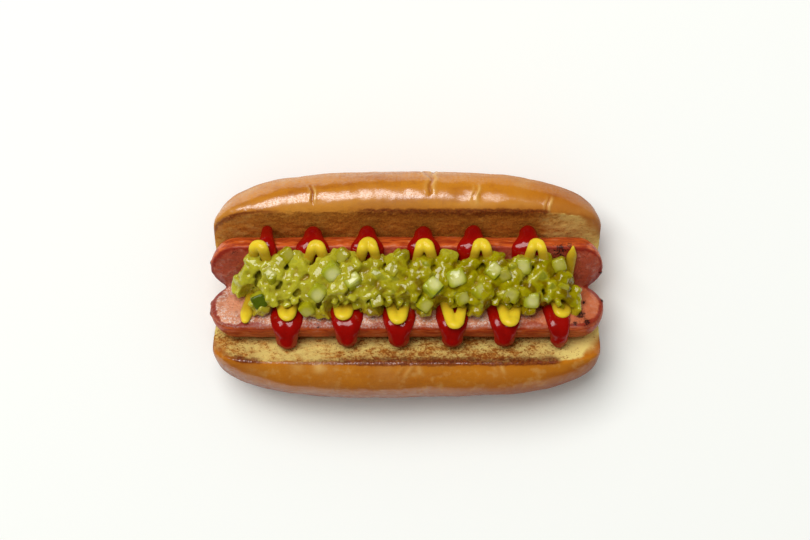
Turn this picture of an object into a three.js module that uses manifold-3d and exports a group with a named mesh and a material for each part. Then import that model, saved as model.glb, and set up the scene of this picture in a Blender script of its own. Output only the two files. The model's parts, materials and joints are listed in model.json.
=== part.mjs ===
// A hot dog: a top-split bun, opened like a book, round a frankfurter that is itself split lengthwise and
// opened flat side up, with a zigzag of ketchup, a thinner one of mustard on it, and a heap of pickle relish.
// Millimetres, +X along the bun, +Y to its thicker half, +Z up, origin at the middle of the base.
import * as THREE from "three";
import { mergeVertices } from "three/addons/utils/BufferGeometryUtils.js";
import Module from "manifold-3d";

const wasm = await Module();
wasm.setup();

// ---- Driving dimensions ----
const GAP = 0.3; // air between two nodes that touch

const FRANK = {
  length: 152,
  radius: 11.8,
  tilt: THREE.MathUtils.degToRad(45), // how far each cut face is tipped up from level
  hingeZ: 18, // height of the crease between the two cut faces
  web: 0.7, // how far each half reaches past the middle, to join the other
  crown: 0.9, // how far the cut meat swells
  endLength: 10.5, // of each rounded end
  endPower: 2.3, // bluntness of the rounded ends
  narrowing: 0.04, // how much thinner it is at the ends than in the middle
  endSteps: 5,
  middleSteps: 6,
  sides: 18,
};

const BUN = {
  length: 151,
  width: 87.2,
  grooveY: -1, // the groove runs a little off the middle, so the back half is the thicker one
  heart: { y: 20.5, z: 17 }, // of each half, towards which its ends close
  endPower: { back: 2.75, front: 3 }, // bluntness of the ends at the outside
  hingePower: 8, // and at the hinge
  blend: { from: -10, to: 24 }, // between the two, over this stretch out from the heart
  hingeInset: { most: 8, reach: 15, power: 6 }, // the ends draw back round the hinge
  wall: 0.8, // how far each half reaches past the middle, to join the other
  floorFall: 1.6, // how much deeper the groove is at the middle than under the frankfurter
  leave: THREE.MathUtils.degToRad(-36), // where the face leaves the frankfurter's side
  face: { y: 22.4, z: 26.6 }, // the toasted face bends by this point
  edgeY: 29, // reach of the toasted face from the groove's middle
  edgeZ: { back: 35.2, front: 33.8 },
  brow: { y: 5.5, z: 4.2 }, // how far the crust rises past the edge
  browFall: 1.5, // how far under the edge the crust turns down
  shoulderZ: 20, // height of the widest place
  flankZ: 6, // where the flank turns in to the base
  baseInset: 18, // how far in the flat base begins
  sagZ: -2.5, // the soft base would hang this low, and is pressed flat at 0
  fold: { y: 6, z: 1.8 }, // the fold in the base under the hinge: half its width, and its height
  rings: 22, // stations along it
  fineness: 4, // points on each bend of its section
};

// Creases in the crust: x, half ("back" or "front"), depth.
const CREASES = [
  { x: 8, half: "back", depth: 1.3 },
  { x: -36, half: "back", depth: 0.8 },
  { x: 1, half: "front", depth: 1.2 },
  { x: 35, half: "front", depth: 0.8 },
];
const CREASE = { halfWidth: 2, from: { y: 4, z: -14 }, to: { y: 14, z: -2 } }; // fades in out from the heart

// Each zigzag turns at these places along X, by turns at the back and at the front.
// width, height and belly: half the strand's width, and how far it reaches over and under its middle.
// lift: height of that middle over the cut faces. brow: from here it falls away towards the bun.
// shoulder: a leg bends here, on its way up to a turn.
const KETCHUP = {
  width: 2.5,
  height: 1.5,
  belly: 0.7,
  turns: [-54.2, -46.6, -36.6, -23.3, -15.4, -3.1, 6.4, 17.6, 25.8, 37.8, 47, 59],
  firstSide: 1,
  turnRadius: 3,
  reach: { back: 21.5, front: 20.4 },
  lift: 2.8,
  shoulder: 15.6,
  brow: { y: 13, z: 38.2, fall: 0.115 },
};
const MUSTARD = {
  width: 2,
  height: 1.9,
  belly: 0.9,
  turns: [-62.5, -57.5, -46.6, -34.6, -24.8, -15.4, -3.6, 6.7, 18.1, 28, 39.4, 50.2, 60.1, 64.7],
  firstSide: -1,
  turnRadius: 2.6,
  reach: { back: 15.6, front: 12.4 },
  lift: 6.7,
  shoulder: 7,
  brow: { y: 12, z: 41.1, fall: 0.1 },
};
const STRAND_SIDES = 6;
const STRAND_END_RINGS = 2;

const RELISH = {
  length: 134,
  middle: { x: 0.4, y: 1.2 },
  halfWidth: 12.8,
  crestZ: 40.4,
  seat: 1.8, // height of the heap's underside over the cut faces
  power: { along: 5, across: 2.6 }, // bluntness of its ends and sides
  waves: [
    { height: 0.7, x: 0.19, y: 0, phase: 0.7 },
    { height: 0.5, x: 0.43, y: -0.31, phase: 0 },
  ],
  core: { inset: 1, depth: 0.8, rings: 14, sides: 10 }, // how far the bare core lies inside the heap
  bits: { count: 104, small: 3, large: 4.6, sink: 0.1 }, // small pieces, and how deep they sit
  dice: { count: 22, small: 5, large: 6.4, sink: 0.05 }, // larger ones
  sides: { second: [0.75, 1.05], third: [0.6, 0.9] }, // a piece's other two sides, as shares of its first
  tumble: 1.5, // how far a piece may lean, in radians
  nudge: 1.8, // how far a piece is moved to clear the sauces
  seed: 11,
};

// The centre of each half's round skin, in Y from the groove's middle and Z.
const LOBE = {
  y: FRANK.radius * Math.cos(FRANK.tilt) - FRANK.web,
  z: FRANK.hingeZ + FRANK.radius * Math.sin(FRANK.tilt),
};
// Height of the cut faces, without their swelling.
const faceZ = (y) => FRANK.hingeZ + (Math.abs(y) + FRANK.web) * Math.tan(FRANK.tilt);

// ---- Small helpers ----
const smooth = (low, high, x) => THREE.MathUtils.smoothstep(x, low, high);

// How much of a section is left at x, for an end that closes by the given power.
const taper = (x, halfLength, power) =>
  Math.pow(Math.max(0, 1 - Math.pow(Math.min(1, Math.abs(x) / halfLength), power)), 1 / power);

// A sphere's net of points, each moved to place(along 0..1, around 0..1). The poles are the two ends.
function pulledSphere(along, around, place) {
  const ball = new THREE.SphereGeometry(1, around, along);
  const at = ball.attributes.position;
  for (let ring = 0, i = 0; ring <= along; ring++)
    for (let side = 0; side <= around; side++, i++) {
      const p = place(ring / along, (side % around) / around);
      at.setXYZ(i, p.x, p.y, p.z);
    }
  return ball;
}

// A three.js geometry as a manifold-3d solid that faces out.
function solid(geometry) {
  const bare = geometry.clone();
  bare.deleteAttribute("normal");
  bare.deleteAttribute("uv");
  const merged = mergeVertices(bare, 1e-4);
  const index = Uint32Array.from(merged.index.array);
  const build = () =>
    new wasm.Manifold(
      new wasm.Mesh({ numProp: 3, vertProperties: merged.attributes.position.array, triVerts: index }),
    );
  const made = build();
  if (made.volume() > 0) return made;
  for (let i = 0; i < index.length; i += 3) [index[i + 1], index[i + 2]] = [index[i + 2], index[i + 1]];
  return build();
}

const union = (solids) => wasm.Manifold.union(solids);

// A named node: the largest body of a solid, without specks that a cut left loose.
function node(name, made, material) {
  const body = made.decompose().sort((a, b) => b.volume() - a.volume())[0];
  const { vertProperties, triVerts } = body.getMesh();
  const geometry = new THREE.BufferGeometry()
    .setAttribute("position", new THREE.BufferAttribute(Float32Array.from(vertProperties), 3))
    .setIndex(new THREE.BufferAttribute(Uint32Array.from(triVerts), 1));
  geometry.computeVertexNormals();
  const mesh = new THREE.Mesh(geometry, material);
  mesh.name = name;
  return mesh;
}

// ---- Bun ----
// Stations along the bun: close together at the ends and over each crease.
function bunStations(half) {
  const even = Array.from({ length: BUN.rings + 1 }, (_, i) => Math.cos((Math.PI * i) / BUN.rings));
  const own = CREASES.filter((c) => c.half === half).flatMap((c) =>
    [-1, 0, 1].map((step) => c.x + step * CREASE.halfWidth),
  );
  const clear = (x) => own.every((o) => Math.abs(x - o) > CREASE.halfWidth / 2);
  return [...even.map((x) => (x * BUN.length) / 2).filter(clear), ...own].sort((a, b) => b - a);
}

// The section of one half at mid length, in Y from the groove's middle and Z, as a closed ring of points.
function bunSection(half) {
  const outside = BUN.width / 2 + (half === "back" ? -BUN.grooveY : BUN.grooveY);
  const edgeZ = BUN.edgeZ[half];
  const base = outside - BUN.baseInset;
  const floorZ = LOBE.z - FRANK.radius - GAP;
  const path = new THREE.Path();
  path.moveTo(-BUN.wall, floorZ - BUN.floorFall);
  path.lineTo(LOBE.y, floorZ);
  path.absarc(LOBE.y, LOBE.z, FRANK.radius + GAP, -Math.PI / 2, BUN.leave, false);
  path.quadraticCurveTo(BUN.face.y, BUN.face.z, BUN.edgeY, edgeZ);
  const brow = [BUN.edgeY + BUN.brow.y, edgeZ + BUN.brow.z];
  path.bezierCurveTo(...brow, outside, edgeZ - BUN.browFall, outside, BUN.shoulderZ);
  path.bezierCurveTo(outside, BUN.flankZ, (outside + base) / 2, BUN.sagZ, base, BUN.sagZ);
  path.lineTo(BUN.fold.y, BUN.sagZ);
  path.quadraticCurveTo(BUN.fold.y / 4, BUN.sagZ, -BUN.wall, BUN.fold.z);
  path.lineTo(-BUN.wall, floorZ - BUN.floorFall);
  return path.getPoints(BUN.fineness).slice(0, -1);
}

// One half of the bun, closing round its heart towards both ends.
function bunHalf(half) {
  const section = bunSection(half);
  const stations = bunStations(half);
  const creases = CREASES.filter((c) => c.half === half);
  const side = half === "back" ? 1 : -1;
  const { heart, blend, hingeInset } = BUN;
  const place = (v, u) => {
    const x = stations[Math.round(v * (stations.length - 1))];
    const p = section[Math.round(u * section.length) % section.length];
    const out = new THREE.Vector2(p.x - heart.y, p.y - heart.z);
    const outer = smooth(blend.from, blend.to, out.x);
    const power = THREE.MathUtils.lerp(BUN.hingePower, BUN.endPower[half], outer);
    out.multiplyScalar(taper(x, BUN.length / 2, power));
    const crust = smooth(CREASE.from.y, CREASE.to.y, out.x) * smooth(CREASE.from.z, CREASE.to.z, out.y);
    for (const crease of creases) {
      const near = Math.max(0, 1 - Math.abs(x - crease.x) / CREASE.halfWidth);
      out.setLength(out.length() - crease.depth * crust * near);
    }
    const y = heart.y + out.x;
    const atHinge = 1 - smooth(0, hingeInset.reach, y);
    const inset = hingeInset.most * atHinge * Math.abs((2 * x) / BUN.length) ** hingeInset.power;
    return new THREE.Vector3(x - Math.sign(x) * inset, BUN.grooveY + side * y, Math.max(0, heart.z + out.y));
  };
  return solid(pulledSphere(stations.length - 1, section.length, place));
}

// ---- Frankfurter ----
// Stations along it: close together round each end, even between.
function frankStations(halfLength) {
  const { endSteps, middleSteps, endLength } = FRANK;
  const straight = halfLength - endLength;
  const end = Array.from({ length: endSteps }, (_, i) => {
    const turn = (Math.PI / 2) * (i / endSteps);
    return straight + endLength * Math.cos(turn);
  });
  const middle = Array.from({ length: middleSteps + 1 }, (_, i) => straight * (1 - (2 * i) / middleSteps));
  return [...end, ...middle, ...end.map((x) => -x).reverse()];
}

// One half: a D of skin and swollen cut face, tipped up about the crease and mirrored for the other side.
function frankHalf(side, grow) {
  const halfLength = FRANK.length / 2 + grow;
  const stations = frankStations(halfLength);
  const place = (v, u) => {
    const x = stations[Math.round(v * (stations.length - 1))];
    const toEnd = Math.max(0, Math.abs(x) - halfLength + FRANK.endLength);
    const full = (FRANK.radius + grow) * (1 - FRANK.narrowing * (x / halfLength) ** 4);
    const left = taper(toEnd, FRANK.endLength, FRANK.endPower);
    const turn = 2 * Math.PI * u;
    const across = -full * left * Math.cos(turn); // along the face, from the crease to the outer edge
    const swell = (grow + FRANK.crown * Math.abs(Math.sin(turn))) * left;
    const depth = turn <= Math.PI ? -full * left * Math.sin(turn) : swell;
    const face = FRANK.radius + across;
    const y = face * Math.cos(FRANK.tilt) - depth * Math.sin(FRANK.tilt) - FRANK.web;
    const z = FRANK.hingeZ + face * Math.sin(FRANK.tilt) + depth * Math.cos(FRANK.tilt);
    return new THREE.Vector3(x, BUN.grooveY + side * y, z);
  };
  return solid(pulledSphere(stations.length - 1, FRANK.sides, place));
}

// The whole frankfurter. grow makes it fatter.
const frankfurter = (grow) => union([frankHalf(1, grow), frankHalf(-1, grow)]);

// ---- Sauces ----
// The path of a zigzag: a half-circle turn at each place, joined by legs that lie in the split frankfurter.
// It begins and ends at the tip of a turn. Each point has its place, and the way out from what carries it.
function zigzag({ turns, firstSide, turnRadius, reach, lift, shoulder, brow }) {
  const turnPoints = (x, i) => {
    const side = i % 2 ? -firstSide : firstSide;
    const middle = (side > 0 ? reach.back : reach.front) - turnRadius;
    const isEnd = i === 0 || i === turns.length - 1;
    return (isEnd ? [90] : [180, 135, 90, 45, 0]).map((angle) => {
      const turn = THREE.MathUtils.degToRad(angle);
      const out = middle + turnRadius * Math.sin(turn);
      return new THREE.Vector2(x + turnRadius * Math.cos(turn), side * out);
    });
  };
  const legPoints = (from, to) =>
    [1, 0, -1].map((step) => {
      const y = step * shoulder * Math.sign(from.y);
      return from.clone().lerp(to, (from.y - y) / (from.y - to.y));
    });
  const bends = turns.map(turnPoints);
  const inPlan = bends.flatMap((bend, i) =>
    i === 0 ? bend : [...legPoints(bends[i - 1].at(-1), bend[0]), ...bend],
  );
  return inPlan.map((p) => {
    const pastBrow = Math.max(0, Math.abs(p.y) - brow.y);
    const inside = faceZ(p.y) + lift;
    const outside = brow.z - brow.fall * pastBrow ** 2;
    const slope = inside < outside ? Math.tan(FRANK.tilt) : -2 * brow.fall * pastBrow;
    return {
      at: new THREE.Vector3(p.x, BUN.grooveY + p.y, Math.min(inside, outside)),
      out: new THREE.Vector3(0, -slope * Math.sign(p.y), 1).normalize(),
    };
  });
}

// A strand of sauce along a path: round over, flat under, and rounded at both ends. grow makes it fatter.
function strand(path, { width, height, belly }, grow) {
  const curve = new THREE.CatmullRomCurve3(path.map((p) => p.at), false, "centripetal");
  const last = path.length - 1;
  const frames = path.map((p, i) => {
    const along = curve.getTangent(i / last);
    const across = along.clone().cross(p.out).normalize();
    return { along, across, up: across.clone().cross(along) };
  });
  const rings = last + 2 * STRAND_END_RINGS;
  const place = (v, u) => {
    const ring = Math.round(v * rings) - STRAND_END_RINGS;
    const i = THREE.MathUtils.clamp(ring, 0, last);
    const past = ((Math.PI / 2) * (ring - i)) / STRAND_END_RINGS; // round the end, -90 degrees at one pole
    const turn = 2 * Math.PI * u;
    const rise = Math.max(-belly - grow, (height + grow) * Math.sin(turn));
    return path[i].at
      .clone()
      .addScaledVector(frames[i].along, (width + grow) * Math.sin(past))
      .addScaledVector(frames[i].across, (width + grow) * Math.cos(past) * Math.cos(turn))
      .addScaledVector(frames[i].up, rise * Math.cos(past));
  };
  return solid(pulledSphere(rings, STRAND_SIDES, place));
}

// ---- Relish ----
// The surface of the heap: how high it is over the point x, y.
function heapTop(x, y) {
  const u = Math.abs(x - RELISH.middle.x) / (RELISH.length / 2);
  const v = Math.abs(y - BUN.grooveY - RELISH.middle.y) / RELISH.halfWidth;
  const shape = taper(u, 1, RELISH.power.along) * taper(v, 1, RELISH.power.across);
  const uneven = RELISH.waves.map((w) => w.height * Math.sin(w.x * x + w.y * y + w.phase));
  const shore = faceZ(y - BUN.grooveY) + RELISH.seat;
  return shore + (RELISH.crestZ + uneven[0] + uneven[1] - shore) * shape;
}

// The body of the heap: its underside follows the cut faces, its top lies a little under the surface.
function heapCore() {
  const { inset, depth, rings, sides } = RELISH.core;
  const halfLength = RELISH.length / 2 - inset;
  const place = (v, u) => {
    const along = halfLength * Math.cos(Math.PI * v);
    const open = taper(along, halfLength, RELISH.power.along);
    const turn = 2 * Math.PI * u;
    const x = RELISH.middle.x + along;
    const y = BUN.grooveY + RELISH.middle.y + (RELISH.halfWidth - inset) * open * Math.cos(turn);
    const shore = faceZ(y - BUN.grooveY) + RELISH.seat;
    const over = (heapTop(x, y) - depth - shore) * open * Math.sin(turn);
    return new THREE.Vector3(x, y, shore + Math.max(0, over));
  };
  return solid(pulledSphere(rings, sides, place));
}

// Pieces of pickle on the heap: an even spread that doesn't repeat, each turned its own way. One that would
// cross what is kept out is moved a little, or left out.
function heapPieces({ count, small, large, sink }, keepOut, draw) {
  const spread = 1.324717957244746; // the plane's golden number: its powers give an even spread
  const between = ([low, high]) => THREE.MathUtils.lerp(low, high, draw());
  const { nudge, tumble, middle, sides } = RELISH;
  const moves = [[0, 0], [nudge, 0], [-nudge, 0], [0, nudge], [0, -nudge]];
  return Array.from({ length: count }, (_, i) => {
    const u = (i / spread) % 1;
    const v = (i / spread ** 2) % 1;
    const x = middle.x + (u - 0.5) * (RELISH.length - small);
    const y = BUN.grooveY + middle.y + (v - 0.5) * (2 * RELISH.halfWidth - small);
    const size = between([small, large]);
    const box = new THREE.BoxGeometry(size, size * between(sides.second), size * between(sides.third));
    const lean = [-tumble / 2, tumble / 2];
    const turn = new THREE.Euler(between(lean), between(lean), between([0, Math.PI]));
    box.applyMatrix4(new THREE.Matrix4().makeRotationFromEuler(turn));
    const placed = moves.map(([dx, dy]) =>
      solid(box.clone().translate(x + dx, y + dy, heapTop(x + dx, y + dy) - size * sink)),
    );
    return placed.find((piece) => piece.intersect(keepOut).isEmpty());
  }).filter(Boolean);
}

function relish(sauces) {
  THREE.MathUtils.seededRandom(RELISH.seed);
  const draw = () => THREE.MathUtils.seededRandom();
  const keepOut = union([frankfurter(GAP), sauces]);
  const pieces = [RELISH.bits, RELISH.dice].flatMap((kind) => heapPieces(kind, keepOut, draw));
  return union([heapCore().subtract(sauces), ...pieces]);
}

// ---- The object ----
const crustMaterial = new THREE.MeshStandardMaterial({ color: 0xc98a3c, roughness: 0.35, metalness: 0 });
const meatMaterial = new THREE.MeshStandardMaterial({ color: 0xa5482f, roughness: 0.35, metalness: 0 });
const ketchupMaterial = new THREE.MeshStandardMaterial({ color: 0x9c1206, roughness: 0.12, metalness: 0 });
const mustardMaterial = new THREE.MeshStandardMaterial({ color: 0xe6bd1e, roughness: 0.3, metalness: 0 });
const relishMaterial = new THREE.MeshStandardMaterial({ color: 0x98982a, roughness: 0.15, metalness: 0 });

const ketchupPath = zigzag(KETCHUP);
const mustardPath = zigzag(MUSTARD);
const roomGap = GAP / Math.cos(Math.PI / STRAND_SIDES); // at the corners, for a full gap at the sides
const sauces = union([strand(ketchupPath, KETCHUP, roomGap), strand(mustardPath, MUSTARD, roomGap)]);

const hotDog = new THREE.Group();
hotDog.add(node("bun", union([bunHalf("back"), bunHalf("front")]), crustMaterial));
hotDog.add(node("frankfurter", frankfurter(0), meatMaterial));
hotDog.add(node("ketchup", strand(ketchupPath, KETCHUP, 0), ketchupMaterial));
hotDog.add(node("mustard", strand(mustardPath, MUSTARD, 0), mustardMaterial));
hotDog.add(node("relish", relish(sauces), relishMaterial));

export default hotDog;
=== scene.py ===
import json
import math
import random
from collections import namedtuple

import bpy
import numpy as np
from bpy.props import FloatProperty, FloatVectorProperty, IntProperty, PointerProperty
from mathutils import Euler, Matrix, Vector, kdtree

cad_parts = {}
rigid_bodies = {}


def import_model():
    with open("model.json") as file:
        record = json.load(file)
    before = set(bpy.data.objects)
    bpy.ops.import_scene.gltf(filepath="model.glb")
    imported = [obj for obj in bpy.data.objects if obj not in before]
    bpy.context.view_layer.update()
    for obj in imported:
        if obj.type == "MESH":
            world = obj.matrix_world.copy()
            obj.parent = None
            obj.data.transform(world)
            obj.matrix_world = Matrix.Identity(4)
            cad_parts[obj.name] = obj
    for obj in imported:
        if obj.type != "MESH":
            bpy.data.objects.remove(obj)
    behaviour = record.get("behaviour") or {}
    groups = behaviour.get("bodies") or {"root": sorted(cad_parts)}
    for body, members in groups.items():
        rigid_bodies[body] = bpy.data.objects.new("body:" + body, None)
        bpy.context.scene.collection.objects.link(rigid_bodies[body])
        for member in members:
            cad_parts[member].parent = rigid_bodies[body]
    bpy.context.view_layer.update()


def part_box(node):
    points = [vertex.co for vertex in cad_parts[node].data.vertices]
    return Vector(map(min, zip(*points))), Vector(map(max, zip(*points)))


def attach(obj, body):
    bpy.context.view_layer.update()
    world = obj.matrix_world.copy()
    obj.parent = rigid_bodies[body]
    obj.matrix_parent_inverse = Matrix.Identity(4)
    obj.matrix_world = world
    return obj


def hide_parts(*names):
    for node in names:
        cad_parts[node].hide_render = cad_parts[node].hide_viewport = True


bl_info = {
    "name": "Hot dog",
    "version": (1, 0, 0),
    "blender": (4, 5, 0),
    "location": "3D View > Sidebar > Hot dog",
    "description": "Models a hot dog with ketchup, mustard and relish around its packed model",
    "category": "Object",
}

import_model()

MM = 0.001
BODY = "root"
BUN_LOW, BUN_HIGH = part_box("bun")
FRANK_LOW, FRANK_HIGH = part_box("frankfurter")
GROOVE_Y = (FRANK_LOW.y + FRANK_HIGH.y) / 2
SIDES = {"back": 1, "front": -1}
TO_BACK = (-4 * MM, 2 * MM)  # where a material's front look goes over into its back look, across the bun


# ---- Settings ----
def srgb(red, green, blue):
    """A colour given as 0 to 255 on a screen, as the scene-linear one that Blender works with."""
    shares = [c / 255 for c in (red, green, blue)]
    return tuple(c / 12.92 if c <= 0.04045 else ((c + 0.055) / 1.055) ** 2.4 for c in shares)


def size(name, default, description):
    """A length setting. The default is in millimetres."""
    return FloatProperty(
        name=name, default=default * MM, description=description, unit="LENGTH", subtype="DISTANCE"
    )


def share(name, default, description):
    """A setting without a unit."""
    return FloatProperty(name=name, default=default, description=description)


def colour(name, red, green, blue, description):
    """A colour setting, given as on a screen."""
    return FloatVectorProperty(
        name=name,
        default=srgb(red, green, blue),
        description=description,
        subtype="COLOR",
        size=3,
        min=0,
        max=1,
    )


class BunSettings(bpy.types.PropertyGroup):
    """Sizes and colours of the bun."""

    edge_reach: size("Edge reach", 29, "From the groove's middle out to the cut edge")
    back_edge: size("Back edge height", 35.2, "Height of the back half's cut edge")
    front_edge: size("Front edge height", 33.8, "Height of the front half's cut edge")
    shoulder: size("Shoulder height", 20, "Height of the widest place")
    swell: size("Swell", 0.5, "How far the crust stands out past the packed bun")
    voxel: size("Grid", 0.76, "Width of the faces of the finished mesh")
    back_bluntness: share("Back bluntness", 2.75, "Power of the curve that closes the back half's ends")
    front_bluntness: share("Front bluntness", 3.0, "Power of the curve that closes the front half's ends")
    crust: colour("Crust", 202, 126, 24, "Egg-washed top")
    # Dark crust: baked colour on the flanks and base, and painted shade on the front half's flank and in the
    # bottoms of the folds.
    crust_dark: colour("Dark crust", 138, 50, 5, "Flanks and base")
    crust_pale: colour("Pale crust", 232, 184, 104, "Where the crust has torn and stretched")
    crumb: colour("Crumb", 238, 212, 124, "Opened face of the front half")
    # The back half's opened face is painted darker and browner, as the shade it lies in away from the lamp
    # and the bounce off the frankfurter and crust: painted shade.
    crumb_buttered: colour("Back crumb with painted shade", 206, 134, 50, "Opened face of the back half")
    toast: colour("Toast", 150, 84, 26, "Toasted spots on the opened faces")
    burn: colour("Burn", 88, 32, 16, "Burnt cut edge")


class FrankfurterSettings(bpy.types.PropertyGroup):
    """Sizes and colours of the frankfurter."""

    radius: size("Radius", 11.8, "Of the whole frankfurter, before it was split")
    end_length: size("End length", 10.5, "Of each rounded end")
    crease_height: size("Crease height", 18, "Height of the crease between the two cut faces")
    web: size("Web", 0.7, "How far each half reaches past the middle, to join the other")
    crown: size("Crown", 2.2, "How far the cut meat swells")
    voxel: size("Grid", 0.55, "Width of the faces of the finished mesh")
    tilt: FloatProperty(
        name="Tilt",
        default=math.radians(45),
        description="How far each cut face is tipped up from level",
        subtype="ANGLE",
    )
    # The cut faces come in two copies: darker for the back half, which faces away from the lamp, painted
    # shade, and paler for the front half, which faces it, painted light.
    meat: colour("Meat", 180, 76, 48, "Cut face of the back half")
    pale_meat: colour("Pale meat", 228, 152, 114, "Cut face of the front half")
    fat: colour("Fat", 240, 196, 168, "Pale specks in the cut faces")
    # Painted glints: whitish specks near the front cut face's rim that stand in for the lamp's reflection in
    # the wet meat.
    frost: colour("Wet glints", 244, 222, 210, "Wet fat along the rim of the front cut face")
    dark_meat: colour("Dark meat", 128, 40, 24, "Dark specks in the cut faces")
    skin: colour("Skin", 208, 94, 34, "Grilled skin")
    # Dark skin: browned streaks, and painted shade on the front half's skin.
    dark_skin: colour("Dark skin", 146, 34, 14, "Browned streaks of the skin")
    char: colour("Char", 30, 12, 8, "Burnt specks")


class SauceSettings(bpy.types.PropertyGroup):
    """Sizes and colours of the ketchup and the mustard."""

    ketchup_width: size("Ketchup width", 2.3, "Half the width of the strand")
    ketchup_height: size("Ketchup height", 2.3, "How far it stands over its middle")
    mustard_width: size("Mustard width", 2.0, "Half the width of the strand")
    mustard_height: size("Mustard height", 1.9, "How far it stands over its middle")
    ketchup: colour("Ketchup", 152, 9, 3, "Tomato red")
    mustard: colour("Mustard", 230, 198, 42, "Warm yellow")


class RelishSettings(bpy.types.PropertyGroup):
    """Sizes and colours of the relish."""

    length: size("Length", 134, "Of the heap")
    half_width: size("Half width", 12.8, "Of the heap")
    crest: size("Crest height", 40.2, "Height of the heap without its pieces")
    voxel: size("Grid", 0.44, "Width of the faces of the finished mesh")
    small: size("Smallest piece", 3.4, "Side of the smallest piece of pickle")
    large: size("Largest piece", 6.8, "Side of the largest piece of pickle, but for the dice")
    dice: size("Dice", 6.4, "Side of the dice")
    count: IntProperty(name="Pieces", default=360, description="Small pieces in the heap", min=1)
    seed: IntProperty(name="Seed", default=11, description="Draws another heap of the same kind")
    olive: colour("Olive", 116, 92, 0, "Deep and dark pieces")
    green: colour("Green", 160, 148, 4, "Most pieces")
    pale: colour("Pale", 196, 190, 56, "Pale flesh")
    flesh: colour("Flesh", 216, 214, 142, "Middle of the dice")
    edge: colour("Edge", 160, 164, 26, "Edges of the dice")
    rind: colour("Rind", 84, 98, 14, "Dark skin on some dice")
    # Syrup also stands in for the shade in the hollows between the pieces: partly painted shade.
    syrup: colour("Syrup", 146, 92, 4, "Between the pieces and on the mustard beside them")


class StudioSettings(bpy.types.PropertyGroup):
    """The floor, the light and the camera."""

    camera_height: size("Camera height", 767, "Over the floor")
    floor_width: size("Floor width", 4000, "Of the square floor")
    lens: FloatProperty(name="Lens", default=85, description="Focal length", unit="CAMERA")
    world: share("Surround", 0.33, "Strength of the even light from all round")
    key: share("Key light", 102.0, "Power of the large soft lamp, in watts")
    floor: colour("Floor", 252, 252, 248, "Of the plain pale floor")
    glow: colour("Surround colour", 250, 254, 250, "Of the even light from all round")


class HotDogSettings(bpy.types.PropertyGroup):
    """All settings of the hot dog."""

    bun: PointerProperty(type=BunSettings)
    frankfurter: PointerProperty(type=FrankfurterSettings)
    sauce: PointerProperty(type=SauceSettings)
    relish: PointerProperty(type=RelishSettings)
    studio: PointerProperty(type=StudioSettings)


# ---- Modelling helpers ----
def smooth(low, high, x):
    """0 below low, 1 above high, and an even curve between. high may be the lower of the two."""
    t = np.clip((x - low) / (high - low), 0, 1)
    return t * t * (3 - 2 * t)


def taper(x, half_length, power):
    """How much of a section is left at x, for an end that closes by the given power."""
    return np.maximum(0, 1 - np.minimum(1, np.abs(x) / half_length) ** power) ** (1 / power)


def only(piece):
    """Makes piece the one that is selected and active."""
    bpy.ops.object.select_all(action="DESELECT")
    piece.select_set(True)
    bpy.context.view_layer.objects.active = piece


def added(name):
    """Names the primitive that was just added."""
    piece = bpy.context.object
    piece.name = name
    piece.data.name = name
    return piece


def points(piece):
    """The places of a mesh's vertices, as rows of an array."""
    co = np.empty(len(piece.data.vertices) * 3)
    piece.data.vertices.foreach_get("co", co)
    return co.reshape(-1, 3)


def move_points(piece, co):
    """Puts a mesh's vertices at the rows of an array."""
    piece.data.vertices.foreach_set("co", np.ascontiguousarray(co, float).ravel())
    piece.data.update()


def normals(piece):
    """The way out at each vertex of a mesh."""
    out = np.empty(len(piece.data.vertices) * 3)
    piece.data.vertices.foreach_get("normal", out)
    return out.reshape(-1, 3)


def face_out(piece):
    """Merges doubled vertices, then turns every face outwards."""
    only(piece)
    bpy.ops.object.mode_set(mode="EDIT")
    bpy.ops.mesh.select_all(action="SELECT")
    bpy.ops.mesh.remove_doubles(threshold=1e-7)
    bpy.ops.mesh.normals_make_consistent(inside=False)
    bpy.ops.object.mode_set(mode="OBJECT")


def edit(piece, chosen):
    """Opens piece in edit mode with some vertices selected. chosen gets their places and tells which."""
    if bpy.context.mode != "OBJECT":
        bpy.ops.object.mode_set(mode="OBJECT")
    only(piece)
    bpy.ops.object.mode_set(mode="EDIT")
    bpy.ops.mesh.select_mode(type="VERT")
    bpy.ops.mesh.select_all(action="DESELECT")
    bpy.ops.object.mode_set(mode="OBJECT")
    co = points(piece)
    piece.data.vertices.foreach_set("select", np.zeros(len(co), bool) | chosen(co))
    bpy.ops.object.mode_set(mode="EDIT")


def modify(piece, kind, **settings):
    """Adds a modifier and applies it."""
    only(piece)
    bpy.ops.object.modifier_add(type=kind)
    modifier = piece.modifiers[-1]
    for name, value in settings.items():
        setattr(modifier, name, value)
    bpy.ops.object.modifier_apply(modifier=modifier.name)


def refine(piece, chosen):
    """Cuts the faces between the chosen vertices in two each way. chosen has a truth for each vertex."""
    edit(piece, lambda co: chosen)
    bpy.ops.mesh.subdivide(number_cuts=1, smoothness=0)
    bpy.ops.object.mode_set(mode="OBJECT")


def grid_over(piece, voxel, smoothing):
    """Covers piece, and all that crosses it, with one closed mesh of even faces."""
    modify(piece, "REMESH", mode="VOXEL", voxel_size=voxel, use_smooth_shade=True)
    modify(piece, "SMOOTH", factor=0.5, iterations=smoothing)


def drop_specks(piece):
    """Deletes what isn't joined to the highest point: the specks that a grid leaves in thin gaps."""
    edit(piece, lambda co: co[:, 2] >= co[:, 2].max())
    bpy.ops.mesh.select_linked()
    bpy.ops.mesh.select_all(action="INVERT")
    bpy.ops.mesh.delete(type="VERT")
    bpy.ops.object.mode_set(mode="OBJECT")


def join(name, parts):
    """Joins objects into the first one."""
    bpy.ops.object.select_all(action="DESELECT")
    for part in parts:
        part.select_set(True)
    bpy.context.view_layer.objects.active = parts[0]
    bpy.ops.object.join()
    return added(name)


def weigh(piece, name, weights):
    """Writes a vertex group, which says where a modifier works."""
    group = piece.vertex_groups.new(name=name)
    for index, weight in enumerate(weights):
        group.add([index], float(weight), "REPLACE")


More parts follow.
